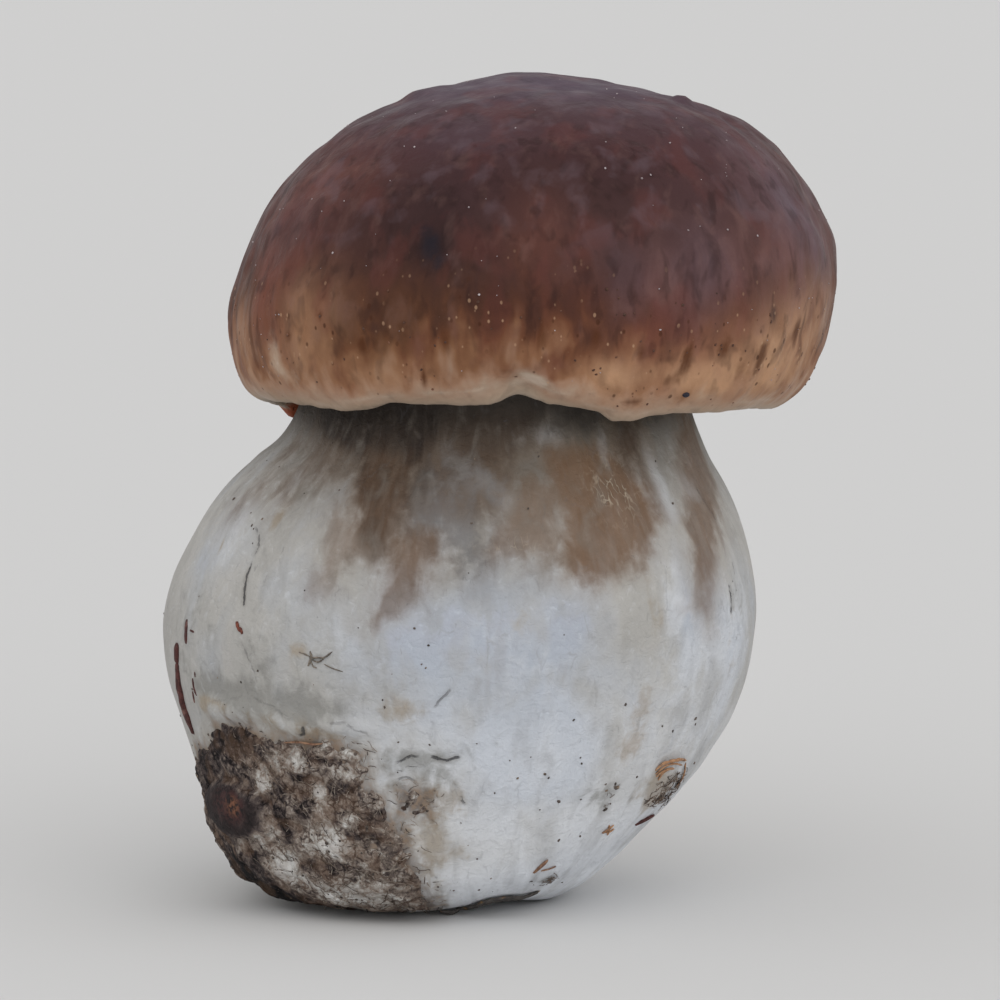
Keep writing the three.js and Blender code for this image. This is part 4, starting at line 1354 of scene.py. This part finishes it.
litter = {
    "barkStrip": {
        "nodes": ["bark_strip"], "slot": "bark", "finish": "redBark",
        "strips": [
            (1.5, 0.5, [(197, 37.8, 0), (196.4, 36, 0), (196, 34.8, 0)]),
            (1.8, 0.55, [(196.2, 35.2, 0), (195, 31.4, 0), (194.4, 28.8, 0), (194.6, 26.6, 0),
                         (195.6, 24.4, 0)]),
        ],
    },
    "barkSliver": {
        "nodes": ["bark_sliver"], "slot": "bark", "finish": "redBark",
        "strips": [(0.62, 0.34, [(327, 12.4, 0), (329.6, 13.2, 0.1), (332.6, 13.8, 0.2)])],
    },
    "barkFleck": {
        "nodes": ["bark_fleck"], "slot": "bark", "finish": "orangeBark",
        "strips": [
            (0.5, 0.26, [(221, 42.8, 0.1), (221.6, 42, 0.1), (222.3, 41.4, 0)]),
            (0.44, 0.2, [(221.8, 42, 0), (222.6, 41.7, 0.1), (222.8, 41.1, 0)]),
        ],
    },
    "barkShreds": {
        "nodes": [], "slot": "bark", "finish": "redBark",
        "strips": [
            (1, 0.16, [(201.4, 41.6, 0), (201.8, 40, 0), (201.8, 38, 0)]),
            (0.5, 0.14, [(203.4, 33.4, 0), (203.2, 32, 0), (203.8, 30.8, 0)]),
            (0.35, 0.12, [(205, 34.4, 0), (204.8, 33.6, 0)]),
            (0.4, 0.14, [(202.2, 31.4, 0), (201.6, 29.6, 0)]),
            (0.3, 0.12, [(203.8, 40.2, 0), (205.8, 40.1, 0)]),
        ],
    },
    "leafCurl": {
        "nodes": ["leaf_curl"], "slot": "dead_leaf", "finish": "deadLeaf",
        "strips": [
            (0.5, 0.26, [(320, 21.2, 0), (320.9, 22.3, 0.3), (323.3, 22.8, 0.6), (326.4, 22.8, 0.7),
                         (331.6, 21.8, 0)]),
            (0.42, 0.2, [(321.2, 20.2, 0), (321.8, 21.2, 0.4), (323.8, 21.6, 0.6), (326.4, 21.2, 0.3)]),
            (0.34, 0.18, [(320.6, 20.6, 0), (321.6, 22, 0.5), (324.4, 22.3, 0.6), (329.4, 21.5, 0.4)]),
            (0.36, 0.18, [(322.6, 19.6, 0), (322.4, 20.9, 0.3), (324.6, 21.5, 0.4)]),
            (0.24, 0.18, [(331.6, 21.6, 0), (332.4, 19.8, 0.3), (333.2, 18, 0.2)]),
        ],
    },
    "leafChip": {
        "nodes": ["leaf_chip"], "slot": "dead_leaf", "finish": "deadLeaf",
        "strips": [
            (0.34, 0.22, [(312.3, 12.3, 0.1), (313.7, 12.9, 0.2), (315.4, 13.4, 0.1)]),
            (0.26, 0.18, [(313.5, 13.5, 0), (314.3, 12.7, 0.25), (315.5, 11.7, 0)]),
            (0.22, 0.16, [(313.9, 12.2, 0), (315.2, 12.4, 0.15), (316.9, 12.7, 0)]),
        ],
    },
    "footNeedle": {
        "nodes": ["foot_needle"], "slot": "needle", "finish": "fallenNeedle",
        "strips": [
            (0.38, 0.32, [(293.1, 7, 0), (294.4, 8.1, 0.1), (295.9, 9.3, 0.2)]),
            (0.22, 0.16, [(295.6, 7.2, 0), (298, 7.6, 0.2), (300.8, 7.8, 0.1)]),
        ],
    },
    "earthNeedle": {
        "nodes": ["earth_needle"], "slot": "needle", "finish": "fallenNeedle",
        "strips": [
            (0.3, 0.26, [(231.6, 26.4, 0.1), (235.7, 26.8, 0.3), (239, 26.7, 0.3), (241.6, 26.9, 0.2)]),
        ],
    },
    "twiglet": {
        "nodes": ["twiglet"], "slot": "twig", "finish": "deadTwig",
        "strips": [
            (0.36, 0.24, [(240.3, 39.9, 0), (240.7, 39.2, 0.1), (240.5, 38.5, 0.1), (239.8, 37.7, 0)]),
            (0.26, 0.2, [(240.6, 38.9, 0.1), (242.2, 39.1, 0.2), (243.8, 39.2, 0.2), (245.4, 40.1, 0)]),
            (0.22, 0.16, [(240.9, 38.7, 0.1), (242.4, 38.5, 0.2), (243.6, 39, 0.1)]),
            (0.16, 0.1, [(243.4, 38.3, 0), (245.2, 37.8, 0.1), (247.6, 37.3, 0)]),
            (0.2, 0.1, [(237.6, 39.6, 0), (239, 39.4, 0), (240.5, 39.1, 0.1)]),
            (0.18, 0.14, [(240.6, 38.5, 0.1), (241.2, 37.8, 0.1), (242, 37.6, 0)]),
        ],
    },
    "soleLip": {
        "nodes": [], "slot": "bark", "finish": "dampBark",
        "strips": [
            (1.3, 0.45, [(268, 0.9, 0.1), (274, 1.4, 0.3), (280, 2.6, 0.3), (288, 3, 0.35), (297, 2.7, 0.3),
                         (304, 3.3, 0.1)]),
            (0.9, 0.5, [(262, 1, 0.1), (266, 0.9, 0.4), (270, 1.1, 0.3)]),
        ],
    },
}
strip = {
    "stations": 26,
    "across": 5,
    "ragged": 0.32,
    "sunk": 0.12,  # mm that a lying strip goes into the skin
    "roundFrom": 0.2,  # mm lifted where it is quite round underneath
}
scrapLooks = {  # two tones in fine grain, the tone of its flecks, roughness
    "redBark": ("#3a201e", "#5c3431", "#7d5a52", 0.7),
    "orangeBark": ("#54302a", "#8a4a38", "#33211f", 0.7),
    "deadLeaf": ("#8f6748", "#b58d6c", "#6e5444", 0.6),
    "fallenNeedle": ("#735242", "#99785f", "#54402f", 0.6),
    "deadTwig": ("#5a524c", "#8d8377", "#332e2c", 0.7),
    "dampBark": ("#33302f", "#57524e", "#8a6a42", 0.7),
    "palePollen": ("#978a8d", "#bbb0b1", "#7f7072", 0.5),
    "darkSpecks": ("#38231b", "#5c3b2c", "#7d543e", 0.45),
    "darkCrumbs": ("#3a3431", "#665b54", "#8a7866", 0.8),
    "darkBerry": ("#1d1b26", "#3a3648", "#14121a", 0.4),
    "earthThreads": ("#7d7065", "#a89c90", "#61544b", 0.8),
    "darkThreads": ("#3a302b", "#5c4c41", "#79685a", 0.85),
    "rootTangle": ("#4a3f3a", "#857262", "#2f2828", 0.8),
}


def smoothPath(points, count):
    # a curve through the points, evenly spaced
    points = np.array(points, float)
    padded = np.concatenate([[2 * points[0] - points[1]], points, [2 * points[-1] - points[-2]]])
    at = np.linspace(0, len(points) - 1, count)
    base = np.minimum(at.astype(int), len(points) - 2)
    weights = cubicWeights(at - base)
    return sum(weights[k][:, None] * padded[base + k] for k in range(4))


def stripPoints(width, thickness, path, seed):
    route = smoothPath(path, strip["stations"])
    hits = [hitOutermost(azimuth, max(z, 0.3)) for azimuth, z, _ in route]
    centre = np.array([h[0] for h in hits])
    out = np.array([h[1] for h in hits])
    centre = centre + out * route[:, 2:3]
    side = normalised(np.cross(normalised(np.gradient(centre, axis=0)), out))
    share = np.linspace(0, 1, len(route))
    body = np.clip(4 * share * (1 - share), 0, 1) ** 0.3
    half = width / 2 * body * (1 + 1.6 * strip["ragged"] * noiseOn(centre, width * 0.9, seed))
    high = thickness * body * (1 + 0.3 * noiseOn(centre, 1.1, seed + 5))
    lifted = np.clip(route[:, 2], 0, strip["roundFrom"]) / strip["roundFrom"]
    above, below = [], []
    for w in np.linspace(-1, 1, strip["across"]):
        bow = high * math.sqrt(1 - 0.8 * w * w)
        depth = strip["sunk"] * (1 - lifted) + 0.3 * lifted * bow
        above.append(centre + side * (half * w)[:, None] + out * bow[:, None])
        below.append(centre + side * (half * w * 0.92)[:, None] - out * depth[:, None])
    rings = np.stack(above + below[::-1], axis=1)
    rings[0] = rings[0].mean(axis=0)
    rings[-1] = rings[-1].mean(axis=0)
    rings[..., 2] = np.maximum(rings[..., 2], 0.02)
    return rings


def joinGrids(name, grids):
    meshes = [gridMesh(name, points) for points in grids]
    work = bmesh.new()
    for mesh in meshes:
        work.from_mesh(mesh)
        bpy.data.meshes.remove(mesh)
    mesh = bpy.data.meshes.new(name)
    work.to_mesh(mesh)
    work.free()
    mesh.shade_smooth()
    return mesh


def makeScrapFinish(name, low, high, accent, roughness):
    material, tree, shader = newMaterial(name, {"roughness": roughness, "specular": 0.3})
    place = placeInMm(tree)
    tone = fade(noiseAt(place, 0.9, 4, 0.65, 0.6), 0.34, 0.66)
    flecks = fade(noiseAt(place, 1.6, 2, 0.5), 0.56, 0.66)
    feed(shader, "Base Color", blend(flecks * 0.8, blend(tone, low, high), accent))
    roughen(shader, noiseAt(place, 0.35, 3, 0.6), 0.12)
    return material


finishes = {name: makeScrapFinish(name, *look) for name, look in scrapLooks.items()}

for number, (name, scrap) in enumerate(litter.items()):
    grids = [stripPoints(*one, seed=number * 10 + k) for k, one in enumerate(scrap["strips"])]
    mesh = joinGrids(name, grids)
    mesh.materials.append(finishes[scrap["finish"]])
    addPiece(name, mesh, scrap["slot"], *scrap["nodes"])
print("litter lies on the skin")

# grains and threads, set out as points and given their bodies by geometry nodes

chance = np.random.default_rng(20)


def newGeometryTree(name, inputs):
    tree = bpy.data.node_groups.new(name, "GeometryNodeTree")
    tree.interface.new_socket("Geometry", in_out="INPUT", socket_type="NodeSocketGeometry")
    for label, kind, value in inputs:
        socket = tree.interface.new_socket(label, in_out="INPUT", socket_type=kind)
        if value is not None:
            socket.default_value = value
    tree.interface.new_socket("Geometry", in_out="OUTPUT", socket_type="NodeSocketGeometry")
    start = tree.nodes.new("NodeGroupInput")
    return tree, {socket.name: Wire(socket) for socket in start.outputs if socket.name}


def pointValue(tree, name):
    made = addNode(tree, "GeometryNodeInputNamedAttribute", {"data_type": "FLOAT_VECTOR"}, {"Name": name})
    return Wire(made.outputs["Attribute"])


def finishTree(tree, given, shape, bendSize, bendBy):
    # put the shape on every point, bend each a little differently, and end as plain faces with a material
    spread = wired("GeometryNodeInstanceOnPoints", None, {
        "Points": given["Geometry"],
        "Instance": shape,
        "Rotation": pointValue(tree, "turn"),
        "Scale": pointValue(tree, "size"),
    })
    plain = wired("GeometryNodeRealizeInstances", None, {"Geometry": spread})
    place = Wire(addNode(tree, "GeometryNodeInputPosition").outputs[0])
    cloud = wired("ShaderNodeTexNoise", None, {"Vector": place, "Scale": bendSize, "Detail": 1}, "Color")
    middle = wired("ShaderNodeVectorMath", {"operation": "SUBTRACT"}, {0: cloud, 1: (0.5, 0.5, 0.5)})
    offset = wired("ShaderNodeVectorMath", {"operation": "SCALE"}, {0: middle, "Scale": bendBy})
    bent = wired("GeometryNodeSetPosition", None, {"Geometry": plain, "Offset": offset})
    painted = wired("GeometryNodeSetMaterial", None, {"Geometry": bent, "Material": given["Material"]})
    addNode(tree, "NodeGroupOutput", None, {0: painted})
    return tree


def makeGrainTree():
    tree, given = newGeometryTree("grains", [
        ("Facets", "NodeSocketInt", 1),
        ("Dent Size", "NodeSocketFloat", 2500.0),
        ("Dent Depth", "NodeSocketFloat", 0.0002),
        ("Material", "NodeSocketMaterial", None),
    ])
    ball = wired("GeometryNodeMeshIcoSphere", None, {"Radius": 0.5, "Subdivisions": given["Facets"]})
    return finishTree(tree, given, ball, given["Dent Size"], given["Dent Depth"])


def makeThreadTree():
    tree, given = newGeometryTree("threads", [
        ("Thickness", "NodeSocketFloat", 0.08),
        ("Arch", "NodeSocketFloat", 0.35),
        ("Bend Size", "NodeSocketFloat", 700.0),
        ("Bend", "NodeSocketFloat", 0.0012),
        ("Material", "NodeSocketMaterial", None),
    ])
    top = wired("ShaderNodeCombineXYZ", None, {2: given["Arch"]})
    line = wired("GeometryNodeCurveQuadraticBezier", None, {
        "Resolution": 7, "Start": (-0.5, 0, 0), "Middle": top, "End": (0.5, 0, 0),
    })
    ring = wired("GeometryNodeCurvePrimitiveCircle", None, {"Resolution": 3, "Radius": given["Thickness"]})
    tube = wired("GeometryNodeCurveToMesh", None, {"Curve": line, "Profile Curve": ring, "Fill Caps": True})
    return finishTree(tree, given, tube, given["Bend Size"], given["Bend"])


trees = {"grains": makeGrainTree(), "threads": makeThreadTree()}


def setOut(name, kind, spots, slot, finish, **inputs):
    # spots: point, normal, turn about it in degrees, tilt off the skin in degrees, size x, y, z, all mm
    cloud = bpy.data.meshes.new(name)
    cloud.from_pydata([tuple(np.array(s[0]) * mm) for s in spots], [], [])
    angles = []
    for _, normal, spin, tilt, _ in spots:
        facing = Vector(normal).to_track_quat("Z", "Y").to_matrix().to_4x4()
        turned = facing @ Matrix.Rotation(spin * degree, 4, "Z") @ Matrix.Rotation(tilt * degree, 4, "Y")
        angles.append(turned.to_euler())
    storeValues(cloud, "turn", np.array(angles))
    storeValues(cloud, "size", np.array([s[4] for s in spots]) * mm)
    holder = bpy.data.objects.new(name, cloud)
    scene.collection.objects.link(holder)
    modifier = holder.modifiers.new("nodes", "NODES")
    modifier.node_group = trees[kind]
    sockets = {i.name: i.identifier for i in trees[kind].interface.items_tree if i.in_out == "INPUT"}
    modifier[sockets["Material"]] = finishes[finish]
    for label, value in inputs.items():
        modifier[sockets[label.replace("_", " ")]] = value
    bpy.context.view_layer.update()
    evaluated = holder.evaluated_get(bpy.context.evaluated_depsgraph_get())
    mesh = bpy.data.meshes.new_from_object(evaluated)
    mesh.name = name
    bpy.data.objects.remove(holder)
    bpy.data.meshes.remove(cloud)
    for vert in mesh.vertices:
        vert.co.z = max(vert.co.z, 0)
    return addPiece(name, mesh, slot)


def someSpots(weights, count, sizes, lift=0, flat=1):
    # random spots of the skin, thicker where the weights are higher
    tall, wide = (np.linalg.norm(np.gradient(grid, axis=k), axis=2) for k in (0, 1))
    share = (weights * (tall * wide)).ravel()
    low, high = sizes
    rows, columns = climb.shape
    spots = []
    for index in chance.choice(len(share), count, p=share / share.sum()):
        row, column = divmod(index, columns)
        size = low + (high - low) * chance.random() ** 2
        across, along = size * (1 + 0.5 * chance.random(2))
        u, v = chance.random(2)
        here, normal = grid[row, column], outWay[row, column]
        above, beside = grid[min(row + 1, rows - 1), column], grid[row, (column + 1) % columns]
        point = (here * (2 - u - v) + above * u + beside * v) / 2 + normal * lift * size
        body = (across, along, size * flat)
        spots.append((point, normal, chance.random() * 360, chance.normal(0, 12), body))
    return spots


def placedSpots(table, flat=0.7, cap=False):
    spots = []
    for azimuth, z, size in table:
        point, normal = hitAt("skin", azimuth, z, "capAxis") if cap else hitOutermost(azimuth, z)
        spots.append((point, normal, chance.random() * 360, 0, (size * 1.2, size * 0.85, size * flat)))
    return spots


grains = {
    # how many, from and to how many mm across, how far off the skin and how flat as a share of that
    "sand": (230, (0.12, 0.27), 0.2),
    "specks": (150, (0.15, 0.42), 0.1, 0.5),
    "stemCrumbs": (70, (0.15, 0.4), 0.1, 0.6),
    "crumbs": (200, (0.15, 0.5), 0, 0.8),
    "threads": (320, (0.7, 2.8)),
    "edgeThreads": (70, (0.7, 2.2)),
    "threadWidth": 0.7,
    "patches": {"sand": 9, "specks": 7},  # mm across
    "crumbReach": 7,  # mm out from the crust
    "seen": (212, 232),  # azimuths between which the threads set in
    "fringe": (245, 275),  # azimuths from and to which they fringe the crust
    # azimuth, z, mm across
    "capBerry": [(304.9, 74.6, 0.95)],
    "capDots": [
        (322.3, 85.2, 0.6), (322.8, 84.2, 0.45), (310.8, 81.4, 0.4), (302.9, 80.6, 0.35), (283, 78.6, 0.5),
        (283.6, 78, 0.4), (284.4, 78.8, 0.35), (287.4, 80.4, 0.4), (279, 80, 0.35), (247.6, 78.6, 0.4),
        (247.3, 77.2, 0.35), (226, 85.4, 0.5), (217, 82.4, 0.5), (236, 84, 0.45), (231, 79.6, 0.4),
        (241, 82.2, 0.35), (262, 84.4, 0.35), (268, 86, 0.4),
    ],
    "stemDots": [  # azimuth, z, mm across
        (306, 31.9, 0.5), (327.9, 28.3, 0.6), (328.6, 27.4, 0.4), (317.5, 28, 0.35), (321.1, 27, 0.4),
        (294.4, 30.2, 0.4), (273.8, 27.4, 0.25), (281, 24.8, 0.25), (283.1, 22.1, 0.4), (289.4, 22.5, 0.5),
        (290.4, 21.9, 0.35), (298, 23.7, 0.4), (297.4, 24.6, 0.3), (294.2, 18.2, 0.65), (297.4, 12.1, 0.55),
        (304.5, 12.3, 0.45), (309.4, 19.5, 0.85), (308.6, 20.1, 0.5), (306.6, 19.2, 0.45),
        (305.8, 20.2, 0.35), (308.7, 16.2, 0.75), (309.6, 17, 0.4), (314.4, 20.8, 0.4), (337, 21, 0.4),
        (279.2, 6.8, 0.35), (294.5, 5.5, 0.4), (311.6, 4.3, 0.4), (268.5, 5.1, 0.35), (291.7, 66.4, 0.3),
        (291.8, 65.9, 0.35), (286.4, 59.2, 0.4), (273, 57.4, 0.4), (326.2, 64.2, 0.35), (274.5, 65.6, 0.3),
        (225.8, 66.7, 0.4), (206.2, 62.8, 0.4), (255.5, 32.6, 0.4), (255.2, 33.6, 0.3), (264.3, 41.3, 0.4),
        (263, 38.7, 0.3), (263.8, 38.2, 0.3), (264.2, 27.3, 0.35), (257.8, 27.6, 0.3), (196.5, 57.9, 0.6),
        (217.4, 56.4, 0.4), (214.9, 55.4, 0.45), (216, 55, 0.3), (221.8, 41.8, 0.5), (211.5, 56.9, 0.3),
    ],
}


def makeGrains():
    z = grid[..., 2]
    # pollen and sand all over the cap, and dark specks on its lower half
    onTop = onCap & (rimClimb > 3)
    patches = smooth(noiseOn(grid, grains["patches"]["sand"], 71), 0, 0.5)
    sand = someSpots(np.where(onTop, 0.25 + patches, 0), *grains["sand"])
    setOut("sandGrains", "grains", sand, "mushroom_skin", "palePollen")
    patches = smooth(noiseOn(grid, grains["patches"]["specks"], 81), 0.05, 0.4)
    lowCap = np.where(onTop, smooth(rimClimb, 24, 12) * (0.1 + patches), 0)
    specks = someSpots(lowCap, *grains["specks"]) + placedSpots(grains["capDots"], 0.5, cap=True)
    setOut("capSpecks", "grains", specks, "forest_earth", "darkSpecks")
    berry = placedSpots(grains["capBerry"], 0.8, cap=True)
    setOut("capBerry", "grains", berry, "forest_earth", "darkBerry", Facets=3)
    # dark crumbs on the stem, thicker near the crust
    dots = placedSpots(grains["stemDots"])
    near = np.exp(-np.maximum(-soil, 0) / grains["crumbReach"]) + 0.04
    dots += someSpots(np.where(onStem & (z > 1), near, 0) * (soil < 0), *grains["stemCrumbs"])
    setOut("stemDots", "grains", dots, "forest_earth", "darkCrumbs")
    # crumbs and threads on the crust, clear of its knob
    onEarth = np.where(onStem & (z > 0.8), smooth(soil, -0.3, 1.2), 0)
    besideKnob = (stemTurn - crust["knob"][0]) / crust["knobBare"][0]
    aboveKnob = (z - crust["knob"][1]) / crust["knobBare"][1]
    onEarth = onEarth * (1 - smooth(np.hypot(besideKnob, aboveKnob), 1.2, 0.9))
    crumbs = liftToCrust(someSpots(onEarth, *grains["crumbs"]))
    setOut("earthCrumbs", "grains", crumbs, "forest_earth", "darkCrumbs")
    seen = onEarth * smooth(stemTurn, *grains["seen"]) * smooth(soil, 0.2, 1.6)
    threads = liftToCrust(someSpots(seen, *grains["threads"]))
    low, high = grains["fringe"]
    inFringe = onStem & (stemTurn > low) & (stemTurn < high) & (z > 1)
    fringe = np.where(inFringe, smooth(np.abs(soil + 0.4), 1.8, 0.2), 0)
    threads += liftToCrust(someSpots(fringe, *grains["edgeThreads"]))
    threads = [(*spot[:4], (spot[4][0], grains["threadWidth"], 0.15 + spot[4][0] * 0.08)) for spot in threads]
    setOut("paleThreads", "threads", threads[::2], "forest_earth", "earthThreads")
    setOut("darkThreads", "threads", threads[1::2], "forest_earth", "darkThreads")


def liftToCrust(spots):
    lifted = []
    for point, normal, spin, tilt, size in spots:
        turn = azimuthOf(np.array(point), skin["stemAxis"])
        place, _ = hitOutermost(float(turn), max(float(point[2]), 0.8))
        lifted.append((place, normal, spin, tilt, size))
    return lifted


tangles = [  # knots of fine roots: azimuth, z, degrees and mm that they spread, count, longest thread
    (328.5, 18.6, 5, 1.6, 40, 2.4),
    (329.6, 16.2, 4.6, 1.3, 46, 2.2),
    (325, 16.6, 3, 1.2, 20, 1.6),
    (333.6, 17.8, 2.6, 2.4, 30, 2.2),
    (302.4, 5.2, 2.4, 1, 34, 1.6),
    (307.8, 18.2, 1.6, 1.8, 12, 1.2),
]


def makeTangles():
    spots = []
    for azimuth, z, wide, high, count, longest in tangles:
        for _ in range(count):
            a, b = chance.normal(0, 0.45, 2)
            point, normal = hitAt("skin", azimuth + a * wide, max(z + b * high, 1.0))
            length = longest * (0.35 + 0.65 * chance.random())
            size = (length, 0.8, 0.3 + 0.15 * length)
            spots.append((point + normal * 0.1, normal, chance.random() * 360, chance.normal(0, 8), size))
    setOut("rootTangle", "threads", spots, "needle", "rootTangle", Thickness=0.07)


makeGrains()
makeTangles()
print("grains and threads are scattered")
